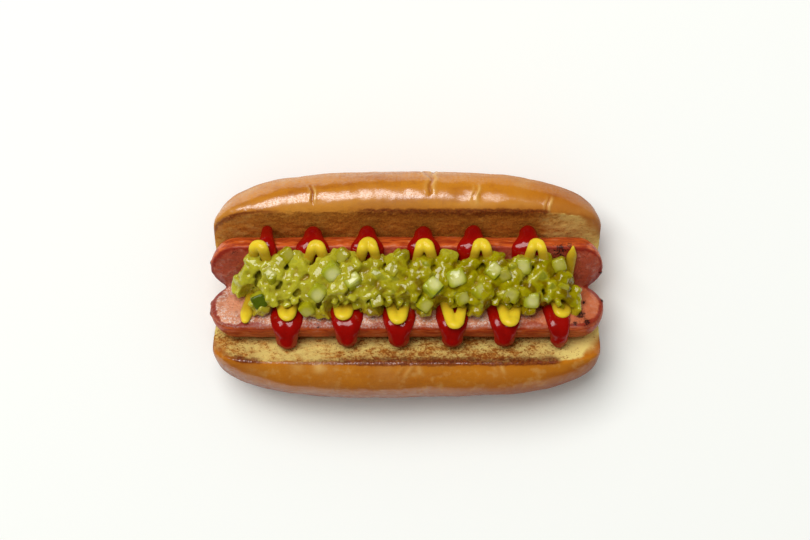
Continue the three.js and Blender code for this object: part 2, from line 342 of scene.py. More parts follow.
def roughen(piece, relief):
    """Raises and sinks the surface. Each row of relief has the vertex group that it works on, with "" for
    all of the piece, then the pattern's wavelength and depth in millimetres."""
    for where, wavelength, depth in relief:
        texture = bpy.data.textures.new("relief", "CLOUDS")
        texture.noise_scale = wavelength * MM
        modify(
            piece,
            "DISPLACE",
            texture=texture,
            texture_coords="LOCAL",
            strength=depth * MM,
            mid_level=0.5,
            vertex_group=where,
        )
        bpy.data.textures.remove(texture)


def note(piece, **rows):
    """Keeps numbers for each vertex under their names, which a material can read."""
    for name, values in rows.items():
        attribute = piece.data.attributes.new(name, "FLOAT", "POINT")
        attribute.data.foreach_set("value", np.ascontiguousarray(values, np.float32))


def softened(piece, values, rounds):
    """A number for each vertex, evened out with its neighbours' numbers."""
    ends = np.empty(len(piece.data.edges) * 2, np.int32)
    piece.data.edges.foreach_get("vertices", ends)
    first, second = ends.reshape(-1, 2).T
    near = np.bincount(ends, minlength=len(values))
    for _ in range(rounds):
        total = np.bincount(first, values[second], len(values))
        total += np.bincount(second, values[first], len(values))
        values = (values + total / near) / 2
    return values


def pulled_ball(name, along, around, place):
    """A ball whose net is pulled to shape. place gets the shares along, from pole to pole, and around."""
    bpy.ops.object.select_all(action="DESELECT")
    bpy.ops.mesh.primitive_uv_sphere_add(segments=around, ring_count=along, radius=1)
    ball = added(name)
    co = points(ball)
    v = np.round(np.arccos(np.clip(co[:, 2], -1, 1)) / math.pi * along) / along
    u = np.round(np.arctan2(co[:, 1], co[:, 0]) / (2 * math.pi) * around) / around % 1
    move_points(ball, place(v, u))
    face_out(ball)
    return ball


def bezier(corners, count):
    """Points along the curve of these corners, whatever their number, without its last one."""
    t = np.linspace(0, 1, count, endpoint=False)[:, None]
    rows = [np.array(c, float) + 0 * t for c in corners]
    while len(rows) > 1:
        rows = [a + (b - a) * t for a, b in zip(rows, rows[1:])]
    return rows[0]


def evenly(outline, count):
    """A closed outline as count points the same way apart."""
    loop = np.vstack([outline, outline[:1]])
    gone = np.concatenate([[0], np.cumsum(np.linalg.norm(np.diff(loop, axis=0), axis=1))])
    at = np.linspace(0, gone[-1], count, endpoint=False)
    return np.column_stack([np.interp(at, gone, column) for column in loop.T])


def dress(piece, material, node=None):
    """Gives a finished piece its material and its body, and hides the solid that it stands for."""
    only(piece)
    bpy.ops.object.shade_smooth()
    piece.data.materials.clear()
    piece.data.materials.append(material)
    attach(piece, BODY)
    if node:
        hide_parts(node)


# ---- Shader helpers ----
class Value:
    """A socket of a material. Python's own operators on it add Math nodes."""

    def __init__(self, tree, socket):
        self.tree = tree
        self.socket = socket

    def math(self, operation, *values):
        """Adds one Math node."""
        node = self.tree.nodes.new("ShaderNodeMath")
        node.operation = operation
        for slot, value in zip(node.inputs, values):
            feed(self.tree, slot, value)
        return Value(self.tree, node.outputs[0])

    def __add__(self, other):
        return self.math("ADD", self, other)

    def __radd__(self, other):
        return self.math("ADD", other, self)

    def __sub__(self, other):
        return self.math("SUBTRACT", self, other)

    def __rsub__(self, other):
        return self.math("SUBTRACT", other, self)

    def __mul__(self, other):
        return self.math("MULTIPLY", self, other)

    def __rmul__(self, other):
        return self.math("MULTIPLY", other, self)

    def __abs__(self):
        return self.math("ABSOLUTE", self)


def feed(tree, slot, value):
    """Links a value to a socket, or sets it there."""
    if isinstance(value, Value):
        tree.links.new(value.socket, slot)
    elif slot.type == "RGBA":
        slot.default_value = (*value[:3], 1)
    else:
        slot.default_value = value


class Finish:
    """A material under construction: a Principled shader and the nodes that feed it."""

    def __init__(self, name, **constants):
        self.material = bpy.data.materials.new(name)
        self.material.use_nodes = True
        self.tree = self.material.node_tree
        self.shader = self.tree.nodes["Principled BSDF"]
        self.set(**constants)
        self.place = self.node("ShaderNodeTexCoord", output="Object")

    def set(self, **sockets):
        """Feeds the shader's sockets, named with _ for a space."""
        for name, value in sockets.items():
            feed(self.tree, self.shader.inputs[name.replace("_", " ")], value)

    def node(self, kind, output=0, settings=None, inputs=None):
        """Adds a node with its settings and socket values, and gives back one of its outputs."""
        node = self.tree.nodes.new(kind)
        for name, value in (settings or {}).items():
            setattr(node, name, value)
        for name, value in (inputs or {}).items():
            feed(self.tree, node.inputs[name], value)
        return Value(self.tree, node.outputs[output])

    def number(self, name):
        """The number that the mesh keeps under a name."""
        return self.node("ShaderNodeAttribute", "Fac", {"attribute_name": name})

    def axes(self):
        """The place's X, Y and Z."""
        inputs = {"Vector": self.place}
        return [self.node("ShaderNodeSeparateXYZ", axis, None, inputs) for axis in "XYZ"]

    def stretched(self, x, y, z):
        """The place, with its axes scaled."""
        inputs = {"Vector": self.place, "Scale": (x, y, z)}
        return self.node("ShaderNodeMapping", "Vector", None, inputs)

    def noise(self, wavelength, detail=3.0, roughness=0.55, place=None):
        """Soft noise around 0.5, of the given wavelength in metres."""
        inputs = {
            "Vector": place or self.place,
            "Scale": 1 / wavelength,
            "Detail": detail,
            "Roughness": roughness,
        }
        return self.node("ShaderNodeTexNoise", "Fac", None, inputs)

    def step(self, low, high, value):
        """0 where value is at low, 1 at high, and an even curve between."""
        if low > high:
            return 1 - self.step(high, low, value)
        inputs = {"Value": value, "From Min": low, "From Max": high}
        return self.node("ShaderNodeMapRange", 0, {"interpolation_type": "SMOOTHSTEP"}, inputs)

    def mix(self, factor, first, second):
        """One colour going over into another. The sockets go by number, as several share a name."""
        inputs = {0: factor, 6: first, 7: second}
        return self.node("ShaderNodeMix", 2, {"data_type": "RGBA"}, inputs)

    def layered(self, shade, *layers):
        """A colour with others laid over it, each after the share that it covers."""
        for factor, over in layers:
            shade = self.mix(factor, shade, over)
        return shade

    def bump(self, height, distance):
        """A fine relief: height in shares of a distance in metres."""
        return self.node("ShaderNodeBump", "Normal", None, {"Height": height, "Distance": distance})


# ---- Bun ----
HEART = (20.5 * MM, 17 * MM)  # of each half, towards which its ends close: out from the groove, and up
HINGE_BLUNTNESS = 8
HINGE_INSET = 8 * MM  # how far the ends draw back round the hinge
INSET_REACH = 15 * MM
INSET_POWER = 6
BLUNTNESS_BLEND = (-10 * MM, 24 * MM)
WALL = 0.8 * MM
BURN_FLOOR = 14 * MM  # nothing lower is burnt
FACE_BEND = (22.4 * MM, 26.6 * MM)
FACE_LEAVES = math.radians(-36)
FLOOR_FALL = 1.6 * MM
# The top of each half, past its cut edge: out and up from the edge, and how far it has fallen at the flank.
BROWS = {SIDES["back"]: ((4, 1.6), (10, 1.2)), SIDES["front"]: ((4, -0.6), (9.5, -2.2))}
BROW_FALL = {SIDES["back"]: 2.7 * MM, SIDES["front"]: 5.8 * MM}
FLANK = 6 * MM
BASE_INSET = 18 * MM
SAG = -2.5 * MM
FOLD = (6 * MM, 1.8 * MM)
SEAT_GAP = 0.3 * MM
HINGE_TURN = math.radians(-150)  # the hinge, seen from the heart: crumb to one side, crust to the other
HINGE_BLEND = math.radians(10)

# Creases in the crust. x: where one starts, nearest the cut edge. side: as in SIDES. near, far: its ends, out
# from the cut edge. lean: how far it runs along the bun for each millimetre out. depth, width: of the fold.
# lip: how far the crust stands up beside it. pale: how torn it is there. All lengths in millimetres.
Crease = namedtuple("Crease", "x side near far lean depth width lip pale")
CREASES = (
    Crease(8.6, 1, 6, 26, 0.1, 0.5, 0.8, 0.2, 0.7),
    Crease(9.2, 1, 14, 26, -0.4, 0.35, 0.9, 0.15, 0.7),
    Crease(-36.0, 1, 3, 9.5, -0.12, 0.8, 0.5, 0.3, 0.9),
    Crease(25.6, 1, 3, 10, 0.14, 0.02, 0.6, 0.35, 0.9),
    Crease(53.6, 1, 0, 5, 0.12, 0.25, 0.5, 0.35, 0.9),
    Crease(1.5, -1, 0, 5, 0.5, 0.04, 1.2, 0.16, 0.4),
    Crease(0.5, -1, 0, 6, -0.5, 0.1, 1.0, 0.16, 0.4),
    Crease(35, -1, 0, 4, 0.15, 0.08, 0.8, 0.2, 0.6),
    Crease(-38, -1, 0, 3.5, 0.1, 0.02, 2.2, 0.2, 0.9),
)
CREASE_WANDER = (0.35, 0.9)  # how far a crease strays, in millimetres, and how often along its way
CREASE_STARTS = 1.5  # millimetres over which a crease deepens at its near end
CREASE_STOPS = 2  # and at its far end
# The crust stands up on both sides of a fold: how far off it, in widths of the fold, and how much.
LIPS = ((1.7, 1.0), (-2.0, 0.4))

# How strongly each half's cut edge is burnt and its face is toasted: places along the bun, in
# millimetres, and the amount there, from 0 to 1.
BURNT = {
    SIDES["back"]: ((-75, 0.55), (-66, 0.8), (-52, 0.5), (-46, 0.12), (-24, 0.2),
                    (-14, 0.75), (0, 0.9), (46, 1), (53, 0.8), (56, 0.1)),
    SIDES["front"]: ((-75, 0.3), (-67, 0.5), (-65, 1), (-59, 0.9), (-55, 0.35),
                     (-28, 0.6), (-18, 0.9), (56, 1), (61, 0)),
}
TOASTED = {
    SIDES["back"]: ((-72, 0.25), (-58, 0.35), (-44, 0.75), (46, 0.85), (55, 0.2), (72, 0.05)),
    SIDES["front"]: ((-74, 0.6), (-62, 0.5), (-53, 0.15), (-36, 0.1), (-26, 0.5),
                     (-4, 0.75), (46, 0.72), (58, 0.3), (68, 0)),
}
# How far the crust closes over each face at its left and right end, in millimetres.
CLOSING = {SIDES["back"]: (1.5, 2), SIDES["front"]: (1.5, 2.4)}
CLOSING_REACH = (62, 76)  # from where to where along the bun, in millimetres
CLOSING_POWER = 1.3

EDGE_BAND = 0.9  # millimetres on both sides of the cut edge that get a finer mesh
CREASED = 0.04  # so does what is torn or folded by more than this
FACE_BLEND = (0.2, 1.5)  # millimetres past the cut edge over which crust goes over into crumb
BREAD_RELIEF = (("crust", 26, 1.6), ("crust", 7, 0.4), ("faces", 5, 0.9), ("faces", 1.7, 0.5))


def lobe(frank):
    """The centre of each half of the frankfurter's round skin: out from the groove's middle, and up."""
    out = frank.radius * math.cos(frank.tilt) - frank.web
    return out, frank.crease_height + frank.radius * math.sin(frank.tilt)


def bun_section(bun, frank, outside, edge, side):
    """The outline of one half at mid length: how far out from the groove's middle, and how high."""
    out, up = lobe(frank)
    radius = frank.radius + SEAT_GAP
    floor = up - radius
    turn = np.linspace(-math.pi / 2, FACE_LEAVES, 30)
    seat = np.column_stack([out + radius * np.cos(turn), up + radius * np.sin(turn)])
    base = outside - BASE_INSET
    cut = (bun.edge_reach, edge)
    brow = [(bun.edge_reach + x * MM, edge + z * MM) for x, z in BROWS[side]]
    top = (outside, edge - BROW_FALL[side])
    flank = [(outside, FLANK), ((outside + base) / 2, SAG)]
    parts = [
        bezier([(-WALL, floor - FLOOR_FALL), (out, floor)], 20),
        seat[:-1],
        bezier([seat[-1], FACE_BEND, cut], 40),
        bezier([cut, *brow, top, (outside, bun.shoulder)], 60),
        bezier([(outside, bun.shoulder), *flank, (base, SAG)], 60),
        bezier([(base, SAG), (FOLD[0], SAG)], 30),
        bezier([(FOLD[0], SAG), (FOLD[0] / 4, SAG), (-WALL, FOLD[1])], 20),
        bezier([(-WALL, FOLD[1]), (-WALL, floor - FLOOR_FALL)], 10),
    ]
    return np.vstack(parts)


def bun_half(name, bun, frank):
    """One half of the bun, closing round its heart towards both ends."""
    side = SIDES[name]
    outside = abs((BUN_HIGH.y if side > 0 else BUN_LOW.y) - GROOVE_Y) + bun.swell
    edge = bun.back_edge if side > 0 else bun.front_edge
    bluntness = bun.back_bluntness if side > 0 else bun.front_bluntness
    around, along = 200, 260
    section = evenly(bun_section(bun, frank, outside, edge, side), around)
    half_length = BUN_HIGH.x

    def place(v, u):
        x = half_length * np.cos(math.pi * v)
        out, up = (section[np.round(u * around).astype(int) % around] - HEART).T
        power = HINGE_BLUNTNESS + (bluntness - HINGE_BLUNTNESS) * smooth(*BLUNTNESS_BLEND, out)
        left = taper(x, half_length, power)
        y = HEART[0] + out * left
        z = np.maximum(0, HEART[1] + up * left)
        at_hinge = 1 - smooth(0, INSET_REACH, y)
        inset = HINGE_INSET * at_hinge * np.abs(x / half_length) ** INSET_POWER
        return np.column_stack([x - np.sign(x) * inset, GROOVE_Y + side * y, z])

    return pulled_ball("bun_" + name, along, around, place)


def past_cut(co, bun):
    """How far each place of the bun lies past the cut edge, round the half's heart: over 0 on the opened
    faces, under 0 on the crust. In millimetres."""
    side = np.sign(co[:, 1] - GROOVE_Y)
    out = np.abs(co[:, 1] - GROOVE_Y) - HEART[0]
    up = co[:, 2] - HEART[1]
    edge = np.where(side > 0, bun.back_edge, bun.front_edge)
    edge_turn = np.arctan2(edge - HEART[1], bun.edge_reach - HEART[0])
    turn = np.arctan2(up, out)
    off_hinge = np.abs((turn - HINGE_TURN + math.pi) % (2 * math.pi) - math.pi)
    turn = np.where(turn < HINGE_TURN, turn + 2 * math.pi, turn)
    cut = (turn - edge_turn) * np.hypot(out, up) / MM * smooth(0, HINGE_BLEND, off_hinge)
    for half, ends in CLOSING.items():
        for end, reach in zip((-1, 1), ends):
            here = (side == half) & (np.sign(co[:, 0]) == end)
            cut = cut - here * reach * smooth(*CLOSING_REACH, np.abs(co[:, 0]) / MM) ** CLOSING_POWER
    return cut


def by_side(table, co):
    """Reads a table of places along the bun and amounts, one for each half, at every place."""
    x = co[:, 0] / MM
    back, front = (np.interp(x, *zip(*table[side])) for side in SIDES.values())
    return np.where(co[:, 1] > GROOVE_Y, back, front)


def crease_relief(co, cut):
    """How deep the creases are at each place, and how much of a lip or a fold is there, from 0 to 1."""
    x = co[:, 0] / MM
    out = -cut
    side = np.sign(co[:, 1] - GROOVE_Y)
    depth, torn, folds = np.zeros((3, len(co)))
    for crease in CREASES:
        wander = CREASE_WANDER[0] * np.sin(out * CREASE_WANDER[1] + crease.x)
        off = (x - crease.x - crease.lean * (out - crease.near) - wander) / crease.width
        span = smooth(crease.near - CREASE_STARTS, crease.near + CREASE_STARTS, out)
        span = span * smooth(crease.far + CREASE_STOPS, crease.far - CREASE_STOPS, out)
        span = span * (side == crease.side)
        groove = np.exp(-(off**2))
        lip = sum(amount * np.exp(-((off - middle) ** 2)) for middle, amount in LIPS)
        depth += span * (crease.depth * groove - crease.lip * lip)
        torn = np.maximum(torn, span * lip * crease.pale)
        folds = np.maximum(folds, span * groove * min(1, crease.depth))
    return depth * MM, torn, folds


def build_bun(settings):
    """The whole bun: two halves joined at the hinge, with creases, crumb and an uneven crust."""
    bun = settings.bun
    halves = [bun_half(name, bun, settings.frankfurter) for name in SIDES]
    piece = join("bun_bread", halves)
    grid_over(piece, bun.voxel, 5)
    cut = past_cut(points(piece), bun)
    _, torn, folds = crease_relief(points(piece), cut)
    refine(piece, (torn > CREASED) | (folds > CREASED) | (np.abs(cut) < EDGE_BAND))
    cut = past_cut(points(piece), bun)
    faces = smooth(*FACE_BLEND, cut)
    weigh(piece, "faces", faces)
    weigh(piece, "crust", 1 - faces)
    depth, torn, folds = crease_relief(points(piece), cut)
    move_points(piece, points(piece) - normals(piece) * depth[:, None])
    roughen(piece, BREAD_RELIEF)
    co = points(piece)
    co[:, 2] = np.maximum(0, co[:, 2])
    move_points(piece, co)
    burnt = by_side(BURNT, co) * (co[:, 2] > BURN_FLOOR)
    note(piece, cut=cut, torn=torn, folds=folds, burnt=burnt, toasted=by_side(TOASTED, co))
    dress(piece, bread_finish(bun), "bun")


def bread_finish(bun):
    """Egg-washed crust, torn paler at the creases and burnt along the cut, over an opened, toasted crumb.
    Places are in metres. How far past the cut edge is in millimetres, as the mesh keeps it."""
    finish = Finish("baked_bread", IOR=1.4, Coat_Roughness=0.21, Coat_IOR=2.0, Specular_IOR_Level=0.05)
    x, y, z = finish.axes()
    kept = ("cut", "torn", "folds", "burnt", "toasted")
    cut, torn, folds, burnt_here, toasted_here = map(finish.number, kept)
    broad = finish.noise(16 * MM)
    patchy = finish.noise(4 * MM, 4)
    speckle = finish.noise(1.1 * MM, 5, 0.8)
    fine = finish.noise(0.6 * MM, 3, 0.7)
    mottle = finish.noise(3.2 * MM, 5, 0.7, finish.stretched(0.6, 1, 1)) - 0.5
    streaks = finish.noise(1.2 * MM, 3, 0.6, finish.stretched(1, 0.2, 0.28))
    bands = finish.noise(7 * MM, 3, 0.5, finish.stretched(0.2, 1, 1))
    wander = finish.noise(5 * MM, 5, 0.65) - 0.5
    breaks = finish.noise(1.6 * MM, 4, 0.7)
    back = finish.step(*TO_BACK, y)

    # Darker towards the base, as baked colour, and reaching higher up on the front half, which faces away
    # from the lamp: partly painted shade.
    flank = finish.step(34 * MM, 10 * MM, z + y * 0.2 + (broad - 0.5) * (12 * MM))
    lit = (1 - back) * (1 - flank)
    crust = finish.layered(
        bun.crust,
        (flank * 0.9, bun.crust_dark),
        (finish.step(0.5, 0.78, patchy) * 0.25, bun.crust_dark),
        (finish.step(0.46, 0.7, bands) * 0.4, bun.crust_dark),
        (finish.step(0.5, 0.2, broad) * (0.3 - flank * 0.2), bun.crust_pale),
        (finish.step(0.5, 0.7, patchy) * lit * 0.4, bun.crust_pale),
        (finish.step(-7, -1, cut) * back * 0.15, bun.crust_pale),
        (finish.step(25 * MM, 75 * MM, x) * back * 0.5, bun.crust_dark),
        (torn * 0.8, bun.crust_pale),
        # The bottom of each fold goes darker: painted shade.
        (folds * 0.9, bun.crust_dark),
    )

    near_edge = finish.step(12, 1, cut)
    pale_end = finish.step(45 * MM, 62 * MM, x)
    # back * 0.5 moves the back half's face towards its darker crumb: painted shade.
    tan = toasted_here * 0.4 + back * 0.5 + mottle * (3 - back * 1.6) + near_edge * 0.2 - pale_end * 0.35
    threshold = 0.66 - toasted_here * 0.14 - near_edge * 0.06 - mottle * 0.5
    toasted = finish.step(-0.03, 0.06, speckle - threshold)
    pores = finish.step(0.4, 0.3, fine) * (0.15 + toasted_here * 0.6)
    crumb = finish.layered(
        bun.crumb,
        (finish.step(0, 1, tan), bun.crumb_buttered),
        (finish.step(0.55, 0.68, fine) * (1 - back * 0.7) * 0.45, bun.crumb),
        (toasted * (0.85 - back * 0.35), bun.toast),
        (pores * 0.7, bun.burn),
    )

    soft = 1 - finish.step(62 * MM, 72 * MM, abs(x)) * 0.85
    on_face = finish.step(-0.2, 0.25, (cut + (patchy - 0.5) * 1.6) * soft)
    width = burnt_here * (0.95 - back * 0.35) + (breaks - 0.5) * 1.8
    line = finish.step(0.4, -0.3, abs(cut + 0.2 + wander * 1.5) - width)
    burnt = line * finish.step(0.1, 0.75, burnt_here + (breaks - 0.5) * 0.6)
    ember = finish.mix(finish.step(0.45, 0.62, fine) * 0.7, bun.burn, bun.crust_dark)
    surface = finish.layered(
        crust,
        (on_face, crumb),
        (finish.step(2.6, 0.2, abs(cut)) * burnt_here * 0.4, bun.crust_dark),
        (burnt * (0.6 + finish.step(0.62, 0.42, breaks) * 0.3), ember),
    )

    rough = on_face * (0.45 + toasted_here * 0.5)
    height = (1 - on_face) * (streaks * 0.16 + fine * 0.12) + rough * (speckle + fine * 0.5)
    glossy = 1 - on_face * (1 - burnt)
    broken = 0.35 + finish.step(0.4, 0.58, fine * 0.75 + streaks * 0.25) * 0.65
    dull_edge = finish.step(2.4, 0.8, abs(cut)) * finish.step(0.66, 0.52, fine) * 0.9
    on_top = 0.1 + finish.step(17 * MM, 29 * MM, z) * 0.9
    to_left = 1 - finish.step(5 * MM, 45 * MM, x) * 0.55
    finish.set(
        Base_Color=surface,
        Roughness=0.55 + on_face * (1 - burnt) * 0.35,
        Coat_Weight=glossy * broken * (1 - dull_edge) * on_top * to_left,
        Normal=finish.bump(height, 0.8 * MM),
    )
    return finish.material


# ---- Frankfurter ----
def frankfurter_half(name, frank):
    """One half of the frankfurter: a ball drawn out to a sausage, its upper half pressed to a low crown,
    then tipped about the crease."""
    side = SIDES[name]
    straight = FRANK_HIGH.x - frank.end_length
    bpy.ops.object.select_all(action="DESELECT")
    bpy.ops.mesh.primitive_uv_sphere_add(
        segments=64, ring_count=40, radius=frank.radius, rotation=(0, math.pi / 2, 0)
    )
    bpy.ops.object.transform_apply(location=False, rotation=True, scale=False)
    half = added("frankfurter_" + name)
    edit(half, lambda co: True)
    bpy.ops.transform.resize(value=(frank.end_length / frank.radius, 1, 1), center_override=(0, 0, 0))
    for end in (-1, 1):
        edit(half, lambda co: co[:, 0] * end > 0.1 * MM)
        bpy.ops.transform.translate(value=(end * straight, 0, 0))
    edit(half, lambda co: co[:, 2] > 0.01 * MM)
    bpy.ops.transform.resize(value=(1, 1, frank.crown / frank.radius), center_override=(0, 0, 0))
    bpy.ops.mesh.select_all(action="SELECT")
    # With no window open, a positive turn goes the other way.
    bpy.ops.transform.rotate(value=-side * frank.tilt, orient_axis="X", center_override=(0, 0, 0))
    out, up = lobe(frank)
    bpy.ops.transform.translate(value=(0, GROOVE_Y + side * out, up))
    bpy.ops.object.mode_set(mode="OBJECT")
    return half


# Burnt spots: how far along and out from the middle of the base, in millimetres, the radius, how dark,
# and how far they stand out.
CHARRED = (
    (-76.2, 8.6, 0.9, 1.2, 0.6),
    (-76.2, 4.9, 0.8, 1.2, 0.6),
    (-76.3, -7.0, 0.9, 1.2, 0.7),
    (-76.3, -11.4, 1.0, 1.2, 0.7),
    (75.6, -6.5, 0.8, 1.0, 0.6),
    (75.0, 4.8, 0.8, 0.9, 0.4),
    (58.6, 13.2, 3.6, 0.75, 0.0),
    (62.5, 15.0, 2.4, 0.6, 0.0),
    (66.6, -11.6, 2.4, 0.9, 0.0),
    (69.0, -14.4, 1.8, 0.85, 0.0),
    (64.4, -14.8, 1.6, 0.7, 0.0),
    (68.4, -7.0, 1.4, 0.7, 0.0),
    (-57.2, -11.5, 2.2, 0.45, 0.0),
    (-66.0, 12.4, 1.8, 0.55, 0.0),
    (-34.0, -15.8, 1.2, 0.6, 0.0),
    (20.0, -17.0, 0.9, 0.5, 0.0),
    (36.0, 15.5, 1.4, 0.5, 0.0),
)


RIM_BLEND = (0.2, 1.6)  # millimetres in from the rim over which skin goes over into cut meat
ON_FACE = -0.25 * MM  # what lies no lower than this under a cut face counts as on it
OFF_RIM = 0.02 * MM  # the least distance from the rim, so that each side of it keeps its sign
MEAT_RELIEF = (("", 18, 1.1), ("meat", 4.5, 0.55), ("meat", 1.5, 0.32), ("skin", 2.2, 0.14))


def charring(co):
    """How burnt each place is, from 0 to 1, and how far it stands out for that."""
    burnt, out = np.zeros((2, len(co)))
    for x, y, radius, amount, height in CHARRED:
        apart = np.hypot(co[:, 0] / MM - x, co[:, 1] / MM - y) / radius
        here = np.exp(-(apart**2))
        burnt = np.maximum(burnt, here * amount)
        out += here * height * MM
    return burnt, out


def in_from_rim(co, frank):
    """How far each place of the frankfurter lies in from the rim of its cut face: under 0 on the skin.
    In millimetres."""
    out, up = lobe(frank)
    y = np.abs(co[:, 1] - GROOVE_Y) - out
    z = co[:, 2] - up
    across = y * math.cos(frank.tilt) + z * math.sin(frank.tilt)
    over = -y * math.sin(frank.tilt) + z * math.cos(frank.tilt)
    past_end = np.maximum(0, np.abs(co[:, 0]) - FRANK_HIGH.x + frank.end_length) / frank.end_length
    rim = frank.radius - np.hypot(across, past_end * frank.radius)
    return np.where(over > ON_FACE, np.maximum(rim, OFF_RIM), np.minimum(over, -OFF_RIM)) / MM


def build_frankfurter(settings):
    """The frankfurter: two halves joined along the crease, rough where the meat was cut."""
    frank = settings.frankfurter
    halves = [frankfurter_half(name, frank) for name in SIDES]
    piece = join("frankfurter_meat", halves)
    grid_over(piece, frank.voxel, 12)
    rim = in_from_rim(points(piece), frank)
    meat = smooth(*RIM_BLEND, rim)
    weigh(piece, "meat", meat)
    weigh(piece, "skin", 1 - meat)
    roughen(piece, MEAT_RELIEF)
    burnt, out = charring(points(piece))
    move_points(piece, points(piece) + normals(piece) * out[:, None])
    note(piece, charred=burnt, rim=rim)
    dress(piece, meat_finish(frank), "frankfurter")


def meat_finish(frank):
    """Cut sausage meat, mottled with fat, in a grilled skin with burnt spots."""
    finish = Finish(
        "sausage_meat",
        IOR=1.45,
        Coat_Roughness=0.22,
        Specular_IOR_Level=0.1,
        Subsurface_Weight=0.1,
        Subsurface_Radius=(1.0, 0.35, 0.2),
        Subsurface_Scale=1.0 * MM,
    )
    x, y, _ = finish.axes()
    rim, charred = map(finish.number, ("rim", "charred"))
    broad = finish.noise(11 * MM, 3)
    patchy = finish.noise(2.6 * MM, 4, 0.6)
    grain = finish.noise(0.9 * MM, 4, 0.7)
    fine = finish.noise(0.7 * MM, 4, 0.75)
    drawn = finish.noise(1.6 * MM, 4, 0.6, finish.stretched(0.25, 1, 1))
    front = 1 - finish.step(*TO_BACK, y)
    inner = finish.step(64 * MM, 46 * MM, abs(x))

    # The front face takes the paler copy of the meat: painted light. The back face keeps the darker copy:
    # painted shade.
    meat = finish.layered(
        frank.meat,
        (front, frank.pale_meat),
        (inner * front * 0.1, frank.dark_meat),
        (finish.step(0.5, 0.78, patchy) * (0.25 + front * 0.3), frank.fat),
        (finish.step(0.55, 0.25, broad) * 0.6, frank.dark_meat),
        (finish.step(0.45, 0.3, grain) * 0.55, frank.dark_meat),
    )
    skin = finish.layered(
        frank.skin,
        (finish.step(0.42, 0.62, drawn) * 0.75, frank.dark_skin),
        (finish.step(0.42, 0.3, drawn) * 0.25, frank.fat),
        # The front half's skin, which faces away from the lamp, goes darker: painted shade.
        (front * 0.35, frank.dark_skin),
    )

    on_meat = finish.step(0.0, 0.9, rim + (patchy - 0.5) * 0.8)
    grilled = finish.step(35 * MM, 55 * MM, x) * front * on_meat
    near_rim = finish.step(8.5, 4.5, rim) * on_meat * front * finish.step(60 * MM, 30 * MM, x)
    # Whitish specks near the front face's rim: painted glints.
    frost = finish.step(0.49, 0.56, fine) * finish.step(0.4, 0.5, patchy) * near_rim
    edge = finish.step(2.3, 1.3, rim + (broad - 0.5) * 5 + (patchy - 0.5) * 2.5) * on_meat
    specks = finish.step(0.38, 0.48, charred * 0.7 + (fine - 0.5) * 1.8)
    surface = finish.layered(
        skin,
        (on_meat, meat),
        (grilled * 0.62, frank.skin),
        (frost * 0.8, frank.frost),
        (edge * (0.9 - inner * 0.35), frank.dark_skin),
        (charred * 0.5, frank.dark_meat),
        (specks * finish.step(0.1, 0.3, charred) * 0.92, frank.char),
    )

    height = on_meat * (grain + patchy * 0.6) + (1 - on_meat) * (drawn * 0.4 + grain * 0.15)
    finish.set(
        Base_Color=surface,
        Roughness=0.45 + specks * 0.2,
        Coat_Weight=0.25 + finish.step(1.5, 3.5, rim) * 0.55,
        Normal=finish.bump(height, 0.7 * MM),
    )
    return finish.material


# ---- Sauces ----
# Each zigzag turns at these places, in millimetres: along the bun, and out from the groove's middle, to
# the back where positive. turn_radius: of each turn. belly: how far the strand goes under its middle. lift:
# height of that middle over the cut faces. brow: from here it falls away towards the bun. rounding: how
# softly it bends there. relief: of its surface.
KETCHUP = {
    "turns": (
        (-54.0, 22.0), (-46.2, -22.4), (-36.2, 22.2), (-23.1, -21.4), (-15.3, 22.2), (-3.1, -21.6),
        (6.3, 22.2), (17.4, -21.6), (25.5, 22.4), (37.4, -21.2), (46.5, 22.4), (58.4, -21.6),
    ),
    "turn_radius": 0.7,
    "rounding": 50,
    "lift": 2.8,
    "belly": 1.3,
    "brow": {"y": 12.5, "z": 38.4, "fall": 0.17, "steep": 1.1},
    "relief": (("", 5, 0.4),),
}
MUSTARD = {
    "turns": (
        (-62.0, -12.6), (-56.6, 16.4), (-45.8, -11.6), (-34.6, 16.6), (-24.4, -11.2), (-14.9, 17.6),
        (-3.5, -12.8), (6.6, 17.2), (18.3, -14.4), (28.2, 17.4), (39.3, -13.4), (49.3, 17.4),
        (59.5, -10.4), (63.4, 15.4),
    ),
    "turn_radius": 1.7,
    "rounding": 8,
    "lift": 6.7,
    "belly": 1.5,
    "brow": {"y": 12, "z": 41.1, "fall": 0.1, "steep": 3},
    "relief": (("", 3, 0.25),),
}
POINT_STEP = 0.5  # between the points of a strand's line, in millimetres
SAUCE_GRID = 0.38 * MM  # width of the faces of the finished sauces

# The mustard starts with a drop: millimetres along it, and the share of its width there.
DROP = ((0, 0.8), (1.5, 1.15), (3, 1.25), (5, 1.05), (8, 0.85), (12, 1))
TIP = (1.001, 0.991)  # and runs out to a point between these shares of its way
TIP_WIDTH = 0.3
LOW_LIFT = 3.2  # of mustard that lies on the meat and not on ketchup
SINKS = (2.5, 7)  # millimetres to the side of the ketchup over which it comes down to that
BROW_SINKS = 0.8  # how much of that its brow comes down

KETCHUP_SPREAD = 0.42  # how much wider the ketchup is towards the middle
SPREADS = (20 * MM, 9 * MM)  # out from the groove, where it has that width not yet and in full
POOL = 11  # how far a turn of ketchup has run together, in from its tip, in millimetres
POOL_TIP = 0.93  # where that starts, as a share of the turn's reach
POOL_HEIGHT = 0.85  # as a share of the strand's
# How wide it is at its tip and inside, in shares of the strand's width, and how soon it is that wide.
POOL_SHAPE = {
    "first": (1.1, 1.6, 0.6),
    "back": (1.6, 2.9, 0.6),
    "front": (1.9, 2.9, 1),
    "last": (1.6, 1.9, 1),
}


